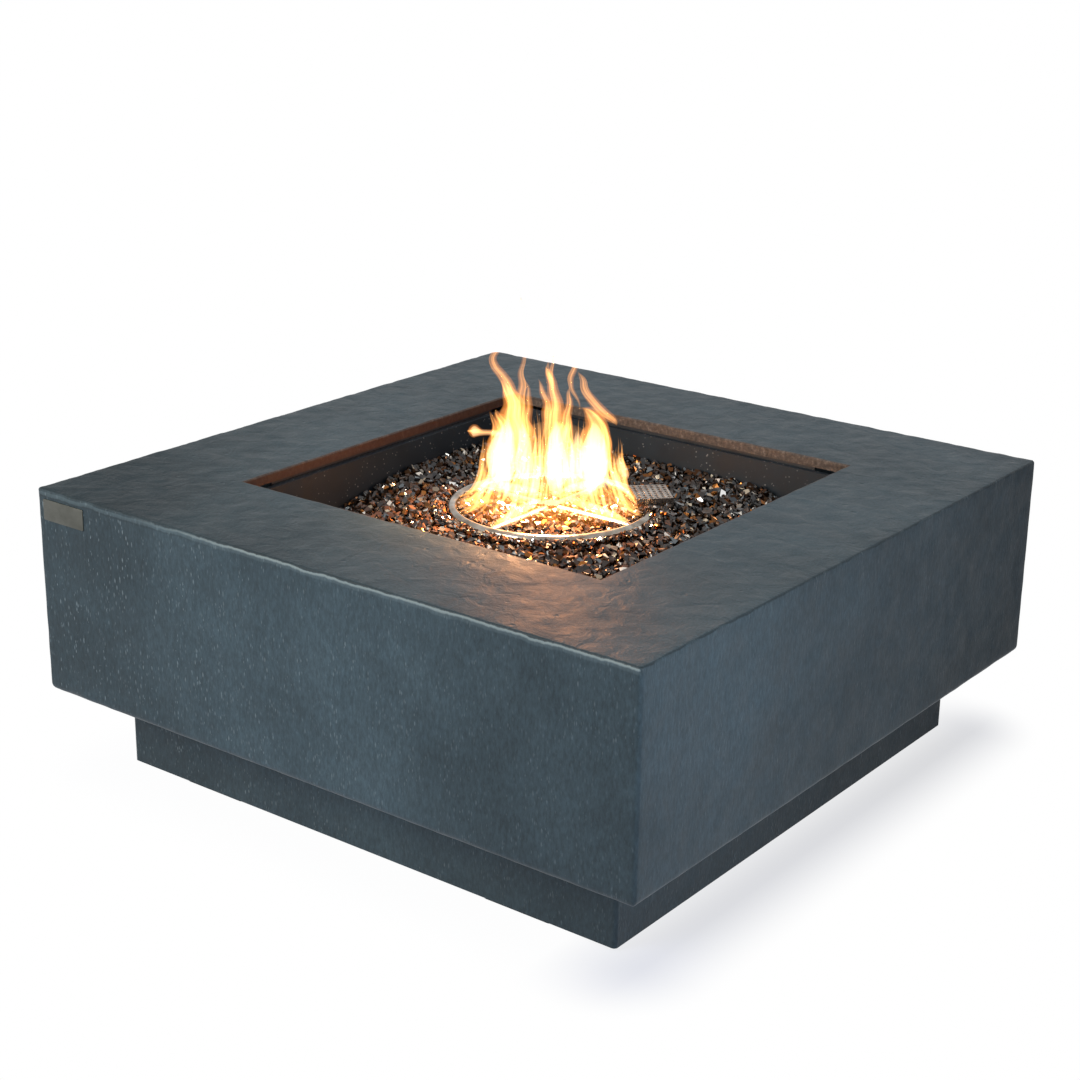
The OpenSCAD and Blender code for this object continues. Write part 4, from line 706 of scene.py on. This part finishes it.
# gas flame, staged: plumes of glowing gas as the photograph shows them, and strands from the burner's ports
# each plume: its place away from the eye, then across, height and half width along it, in mm
flamePlumes = (
    (8, (-66, 402, 0), (-74, 428, 11), (-77, 452, 22), (-76, 482, 24), (-75, 513, 17), (-84, 533, 6),
     (-86, 541, 0)),
    (14, (-56, 440, 0), (-56, 497, 27), (-57, 525, 23), (-58, 547, 17), (-65, 569, 9), (-76, 586, 0)),
    (12, (-57, 500, 0), (-58, 547, 11), (-63, 571, 10), (-73, 591, 8), (-85, 605, 7), (-89, 618, 6),
     (-84, 631, 5), (-77, 645, 3), (-74, 665, 0)),
    (4, (-50, 450, 0), (-49, 520, 10), (-48, 547, 9), (-49, 571, 7), (-49, 595, 5), (-49, 618, 3.5),
     (-48, 650, 2.5), (-50, 710, 0)),
    (-4, (-34, 470, 0), (-37, 522, 8), (-35, 547, 7), (-40, 571, 4), (-45, 594, 0)),
    (20, (-8, 470, 0), (-9, 528, 10), (-11, 551, 7), (-19, 569, 5), (-28, 587, 0)),
    (16, (4, 450, 0), (2, 520, 14), (2, 547, 12), (-2, 571, 9), (-8, 595, 6), (-15, 606, 0)),
    (12, (-3, 560, 0), (-5, 587, 5), (-10, 605, 3), (-11, 620, 0)),
    (10, (0, 560, 0), (-3, 587, 5), (-3, 605, 4), (-3, 626, 0)),
    (0, (12, 440, 0), (14, 501, 14), (17, 524, 10), (19, 547, 7), (24, 563, 5.5), (30, 581, 0)),
    (6, (38, 540, 0), (36, 560, 3), (32, 577, 4), (30, 591, 5), (34, 604, 5), (36, 618, 3.5), (32, 642, 0)),
    (2, (95, 520, 0), (90, 529, 6), (76, 540, 8.5), (59, 555, 8), (49, 575, 6.5), (45, 591, 4.5),
     (39, 603, 0)),
    (6, (56, 402, 0), (62, 428, 12), (66, 458, 26), (65, 495, 25), (64, 520, 18), (54, 537, 11),
     (40, 546, 0)),
    (-2, (72, 410, 0), (75, 450, 11), (78, 482, 10), (80, 502, 8), (76, 524, 0)),
    (10, (-88, 480, 0), (-88, 503, 8), (-89, 520, 5.5), (-95, 540, 0)),
    (2, (-76, 506, 0), (-84, 506, 6), (-98, 507, 5), (-108, 507, 5.5), (-114, 508, 8), (-119, 509, 10.5),
     (-124, 509, 9.5), (-128, 509, 5.5), (-130, 509, 0)),
    (-30, (111, 444, 0), (108, 452, 6.5), (103, 463, 8), (100, 477, 6), (99, 492, 0)),
    (0, (4, 400, 0), (5, 426, 11), (6, 450, 20), (6, 482, 20), (8, 513, 14), (2, 528, 0)),
    (8, (28, 410, 0), (28, 448, 12), (27, 474, 12), (20, 502, 9), (22, 550, 0)))
flameRoots = (
    (6, (-60, 400, 0), (-70, 422, 9), (-75, 446, 20), (-75, 475, 22), (-72, 505, 13), (-66, 530, 0)),
    (0, (4, 400, 0), (5, 420, 9), (6, 442, 18), (6, 470, 17), (5, 505, 9), (4, 525, 0)),
    (4, (48, 400, 0), (56, 422, 10), (61, 446, 21), (63, 475, 22), (64, 505, 12), (60, 528, 0)),
    (30, (-40, 402, 0), (-40, 425, 9), (-44, 450, 14), (-46, 490, 9), (-46, 515, 0)),
    (30, (34, 402, 0), (34, 425, 9), (36, 450, 14), (36, 485, 8), (34, 505, 0)),
    (2, (-78, 506, 0), (-86, 506, 5), (-98, 507, 4), (-110, 507, 5), (-117, 508, 7.5), (-122, 509, 8),
     (-127, 509, 0)),
    (-30, (110, 447, 0), (107, 454, 5.5), (103, 463, 7), (100, 476, 5), (99, 488, 0)))
flameForm = Form(
    lengths(foot=397,
            # sway: sideways reach, wavelengths and the height over which it grows
            warp=3, warpWaves=(30, 110), warpRise=100,
            # ports on the cross tubes, on the ring, and between, behind the two near tubes
            armFrom=24, armTo=142, ringR=145, floorR=(40, 128), floorFront=-70,
            # strands from them: added height, more of it towards the middle, half widths, the widest thread
            growth=(15, 55), middleGrowth=60, girths=(2.8, 5.6), threadMost=2.4,
            # low flames along the cross tubes: start above the foot, rise and half width
            tubeStart=3, tubeRise=12, tubeGirth=7.5),
    turn=37.13, rows=40, columns=12, flat=0.75, warpMost=1.6,
    # glow per metre and colour: thin outer gas, hotter inside, white root, bright threads, a thin fill
    # between the plumes and a painted orange glow of flame light over the glass
    gas=dict(outer=(36.0, (1.0, 0.34, 0.07, 1.0)), inner=(46.0, (1.0, 0.47, 0.16, 1.0)),
             root=(62.0, (1.0, 0.66, 0.36, 1.0)), thread=(210.0, (1.0, 0.43, 0.115, 1.0)),
             veil=(3.4, (1.0, 0.45, 0.15, 1.0)), haze=(9.0, (1.0, 0.3, 0.045, 1.0))),
    # the gas of each kind of form, with its share of the width
    layers=dict(plumes=dict(outer=1.0, inner=0.6), roots=dict(root=1.0), veils=dict(veil=1.0),
                hazes=dict(haze=1.0)),
    # threads in each plume: number, spread and width as shares of the plume's
    threadsEach=4, threadSpread=0.75, threadShare=(0.1, 0.22),
    # numbers of ports, and the ring's front without any, in degrees
    armPorts=12, ringPorts=62, floorPorts=64, openFront=64.0,
    # strands: name, lean inwards and least height, then what varies
    strands=(("flame_arms", 0.34, 30 * mm), ("flame_ring", 0.36, 55 * mm), ("flame_floor", 0.25, 55 * mm)),
    swing=0.05, lean=(0.75, 1.2), plumes=flamePlumes, roots=flameRoots,
    # a thin glow between the plumes, and a low orange glow over the glass inside the ring, painted flame
    # light that stands in for the glass lit orange
    veils=((0, (0, 399, 0), (0, 403, 118), (0, 420, 114), (0, 450, 98), (0, 480, 80), (0, 510, 52),
            (0, 530, 0)),),
    hazes=((-20, (0, 397, 0), (0, 398, 130), (0, 403, 136), (0, 409, 120), (0, 415, 70), (0, 418, 0)),))


def tubeGrid(form, path, girth, side):
    # strands: an ellipse of half width girth carried along each path, its long axis square to path and side
    along = np.gradient(path, axis=1)
    across = np.cross(along, side[:, None])
    across /= np.linalg.norm(across, axis=-1, keepdims=True)
    a = np.linspace(0, 2 * np.pi, form.columns, endpoint=False)[:, None]
    # the gas sways together: a smooth field whose reach grows with height
    rise = np.clip((path[..., 2:] - form.foot) / form.warpRise, 0, form.warpMost)
    drift = np.stack([waves(path, *form.warpWaves, count=12, seed=s) for s in (31, 32)], -1)
    drift = drift * form.warp * rise
    centre = path + np.concatenate([drift, 0 * rise], -1)
    section = np.cos(a) * across[:, :, None] + form.flat * np.sin(a) * side[:, None, None]
    return centre[:, :, None] + girth[..., None, None] * section


def plumePath(form, marks):
    # a smooth curve through a plume's marks (Catmull-Rom), as across, height and half width
    marks = np.array(marks, float) * mm
    t = np.linspace(0, len(marks) - 1, form.rows)
    k = np.minimum(t.astype(int), len(marks) - 2)
    u = (t - k)[:, None]
    p = [marks[np.clip(k + step, 0, len(marks) - 1)] for step in (-1, 0, 1, 2)]
    curve = p[1] + 0.5 * u * (p[2] - p[0] + u * (2 * p[0] - 5 * p[1] + 4 * p[2] - p[3] + u * (
        3 * (p[1] - p[2]) + p[3] - p[0])))
    curve[[0, -1], 2] = 0
    return curve[:, :2], np.maximum(curve[:, 2], 0)


def flamePiece(form, name, path, girth, side, finish):
    strands = tubeGrid(form, path, girth, side)
    count, rows, columns = strands.shape[:3]
    quads = gridQuads(rows, columns, wrapColumns=True).reshape(-1, 4)
    quads = (np.arange(count)[:, None, None] * rows * columns + quads).reshape(-1, 4)
    piece = meshPiece(name, strands.reshape(-1, 3), quads, finish, smooth=180.0, weld=True)
    piece.visible_diffuse = False
    piece.visible_shadow = False


def buildFlame(form):
    gas = {}
    for key, (strength, colour) in form.gas.items():
        gas[key] = newFinish("burning gas, " + key)
        glow = addNode("Emission", {"Color": colour, "Strength": strength})
        addNode("OutputMaterial", {"Volume": glow.outputs[0]})
    rng = np.random.default_rng(8)
    turn = math.radians(form.turn)
    across = np.array([math.cos(turn), math.sin(turn), 0.0])
    away = np.array([-math.sin(turn), math.cos(turn), 0.0])
    upward = np.array([0.0, 0.0, 1.0])
    each = form.threadsEach
    threads = []
    for kind, shells in form.layers.items():
        for k, (depth, *marks) in enumerate(form[kind]):
            flat, girth = plumePath(form, marks)
            path = flat[:, :1] * across + depth * mm * away + flat[:, 1:] * upward
            for key, share in shells.items():
                name = "flame_%s%d_%s" % (kind, k, key)
                flamePiece(form, name, path[None], share * girth[None], away[None], gas[key])
            if kind == "plumes":
                offset = rng.uniform(-form.threadSpread, form.threadSpread, (each, 2))
                shift = offset[:, :1, None] * across + form.flat * offset[:, 1:, None] * away
                thin = girth * rng.uniform(*form.threadShare, (each, 1))
                threads.append((path + shift * girth[:, None], np.minimum(thin, form.threadMost)))
    paths, girths = (np.concatenate(parts) for parts in zip(*threads))
    for k in range(2):
        side = np.repeat(away[None], len(paths[k::2]), 0)
        flamePiece(form, "flame_threads%d" % k, paths[k::2], girths[k::2], side, gas["thread"])
    # strands from the ports: they start inwards over the glass and then turn upwards
    t = np.linspace(0, 1, form.rows)
    port = np.linspace(form.armFrom, form.armTo, form.armPorts)
    arms = np.concatenate([port * 1j ** k for k in range(4)])
    bearing = form.turn - 90 + np.linspace(form.openFront, 360 - form.openFront, form.ringPorts)
    ring = form.ringR * np.exp(1j * np.radians(bearing))
    floor = rng.uniform(*form.floorR, form.floorPorts)
    floor = floor * np.exp(2j * np.pi * rng.uniform(0, 1, form.floorPorts))
    floor = floor[(floor * np.exp(-1j * turn)).imag > form.floorFront]
    # along a strand, t from 0 to 1: the lean dies out, the rise quickens, the width swells and then thins
    for (name, pull, low), spots in zip(form.strands, (arms, ring, floor)):
        count = len(spots)
        spots = spots * np.exp(1j * rng.uniform(-form.swing, form.swing, count))
        inward = pull * rng.uniform(*form.lean, count)[:, None] * (1 - np.exp(-3.2 * t))
        rise = low + rng.uniform(*form.growth, count)
        rise = rise + form.middleGrowth * (1 - np.abs(spots) / form.ringR)
        place = spots[:, None] * (1 - inward)
        path = np.stack([place.real, place.imag, form.foot + rise[:, None] * t ** 1.45], -1)
        girth = rng.uniform(*form.girths, count)[:, None] * 1.9 * t ** 0.6 * (1 - t) ** 0.9
        side = spots * 1j / np.abs(spots)
        side = np.stack([side.real, side.imag, 0 * side.real], -1)
        for k in range(3):  # neighbours in different pieces, so that few strands of a piece overlap
            flamePiece(form, "%s%d" % (name, k), path[k::3], girth[k::3], side[k::3], gas["thread"])
    # low flames lying along the cross tubes
    run = np.array([1, 1j, -1, -1j])[:, None] * (form.armTo + (form.armFrom - form.armTo) * t)
    height = form.foot + form.tubeStart + form.tubeRise * t
    path = np.stack([run.real, run.imag, np.broadcast_to(height, run.shape)], -1)
    girth = np.broadcast_to(form.tubeGirth * np.sqrt(np.sin(np.pi * t)), run.shape)
    side = np.array([[0, 1, 0], [-1, 0, 0], [0, -1, 0], [1, 0, 0]], float)
    flamePiece(form, "flame_tubes", path, girth, side, gas["thread"])


buildFlame(flameForm)
# the flame's light: its heart as a small lamp, and three cones, from its core down inside the ring, from its
# middle down on the glass and from its tips towards the front corner of the top; in mm, watts and degrees
orange, amber = (1.0, 0.35, 0.09), (1.0, 0.5, 0.23)
flameLamps = dict(
    heart=Form(place=(0, 0, 466), colour=orange, watts=0.4, radius=55),
    core=Form(place=(0, 0, 480), aim=(0, -8, 384), colour=orange, watts=32.0, radius=60, cone=100, blend=0.5),
    foot=Form(place=(0, -20, 560), aim=(8, -84, 384), colour=amber, watts=85.0, radius=40, cone=112,
              blend=0.6),
    flare=Form(place=(0, 0, 660), aim=(290, -440, 445), colour=orange, watts=3.2, radius=35, cone=70,
               blend=0.9))
for name, form in flameLamps.items():
    kind, aim, settings = "POINT", None, dict(shadow_soft_size=form.radius * mm)
    if "aim" in form:
        kind, aim = "SPOT", Vector(form.aim) * mm
        settings.update(spot_size=math.radians(form.cone), spot_blend=form.blend)
    addLamp("flame_" + name, kind, Vector(form.place) * mm, aim, form.colour, form.watts, **settings)
print("flame")


# studio, in metres: pale floor that goes to white away from the table, soft light from the left, white sky
studio = Form(floorHalf=9.0, floorColour="#9AA6CE", plinthHalf=0.45, whiteFrom=0.02, whiteTo=0.16,
              # share of white beside the plinth, at the right and at the front and left, and where it turns
              whiteNear=0.64, whiteFront=0.98, frontX=(0.38, 0.5),
              # the sky's light falls from the horizon up, and to its right side
              ambientColour="#E6EDFF", horizon=0.8, zenith=0.42, zenithFrom=0.9, farSide=0.22,
              farSideX=(-0.2, 0.55),
              # lamps: place, width, watts and colour
              lampAim=(0.0, 0.0, 0.3),
              lamps=(("softKey", (-1.0, -3.2, 2.1), 1.6, 108.0, (1.0, 0.93, 0.82)),
                     ("sideFill", (1.4, -0.5, 0.62), 0.5, 7.0, (0.92, 0.95, 1.0))))


def floorFinish(form):
    finish = newFinish("white studio floor")
    place = addNode("TexCoord").outputs["Object"]
    # distance from the plinth's square
    away = vectorNode("ABSOLUTE", place)[0]
    away = vectorNode("SUBTRACT", away, (form.plinthHalf, form.plinthHalf, 0.0))[0]
    away = vectorNode("MAXIMUM", away, (0.0, 0.0, 0.0))[0]
    away = vectorNode("LENGTH", away)["Value"]
    far = mapRange(away, form.whiteFrom, form.whiteTo, interpolation_type="SMOOTHSTEP")
    # beside the plinth the floor shows most of its shade at the right, least at the front and left
    near = mapRange(axesOf(place)[0], *form.frontX, form.whiteFront, form.whiteNear)
    lifted = mapRange(far, 0.0, 1.0, near, 1.0)
    share = times(lifted, seenByEye())
    shaded = addNode("BsdfDiffuse", {"Color": form.floorColour}).outputs[0]
    bright = addNode("Emission", {"Color": "#FFFFFF", "Strength": 1.0}).outputs[0]
    both = addNode("MixShader", {0: share, 1: shaded, 2: bright})
    addNode("OutputMaterial", {"Surface": both.outputs[0]})
    return finish


edge = studio.floorHalf * np.array([-1.0, 1.0])
floorPoints = np.stack([np.repeat(edge, 2), np.tile(edge, 2), np.zeros(4)], 1)
studioFloor = meshPiece("studioFloor", floorPoints, np.array([[0, 2, 3, 1]]), floorFinish(studio))

world = bpy.data.worlds.new("studio")
bpy.context.scene.world = world
world.use_nodes = True
tree = world.node_tree
tree.nodes.clear()
skyX, _, skyZ = axesOf(addNode("TexCoord").outputs["Generated"])
skyLevel = mapRange(skyZ, 0.0, studio.zenithFrom, studio.horizon, studio.zenith)
sideLevel = mapRange(skyX, *studio.farSideX, 1.0, studio.farSide)
ambient = addNode("Background", {
    "Color": studio.ambientColour, "Strength": times(skyLevel, sideLevel)}).outputs[0]
backdrop = addNode("Background", {"Color": "#FFFFFF", "Strength": 1.0}).outputs[0]
mixed = addNode("MixShader", {0: seenByEye(), 1: ambient, 2: backdrop})
addNode("OutputWorld", {"Surface": mixed.outputs[0]})

for name, place, size, watts, colour in studio.lamps:
    addLamp(name, "AREA", place, studio.lampAim, colour, watts, size=size)

# camera: matched to the block's edges in the photograph
cameraForm = Form(place=(1772.1 * mm, -2368.2 * mm, 1371.9 * mm), azimuth=37.13, elevation=19.25, roll=0.8286,
                  focalPixels=2069.42, framePixels=1080, sensor=36.0)
az, el, roll = (math.radians(cameraForm[k]) for k in ("azimuth", "elevation", "roll"))
back = Vector((math.sin(az) * math.cos(el), -math.cos(az) * math.cos(el), math.sin(el)))
level = Vector((math.cos(az), math.sin(az), 0))
upright = back.cross(level)
right = level * math.cos(roll) + upright * math.sin(roll)
up = upright * math.cos(roll) - level * math.sin(roll)
lens = bpy.data.cameras.new("photoCamera")
lens.sensor_width = cameraForm.sensor
lens.lens = cameraForm.focalPixels / cameraForm.framePixels * cameraForm.sensor
camera = bpy.data.objects.new("photoCamera", lens)
camera.matrix_world = Matrix((right, up, back)).transposed().to_4x4()
camera.location = cameraForm.place
bpy.context.scene.collection.objects.link(camera)
bpy.context.scene.camera = camera
bpy.context.scene.view_settings.view_transform = "Standard"
print("studio and camera")
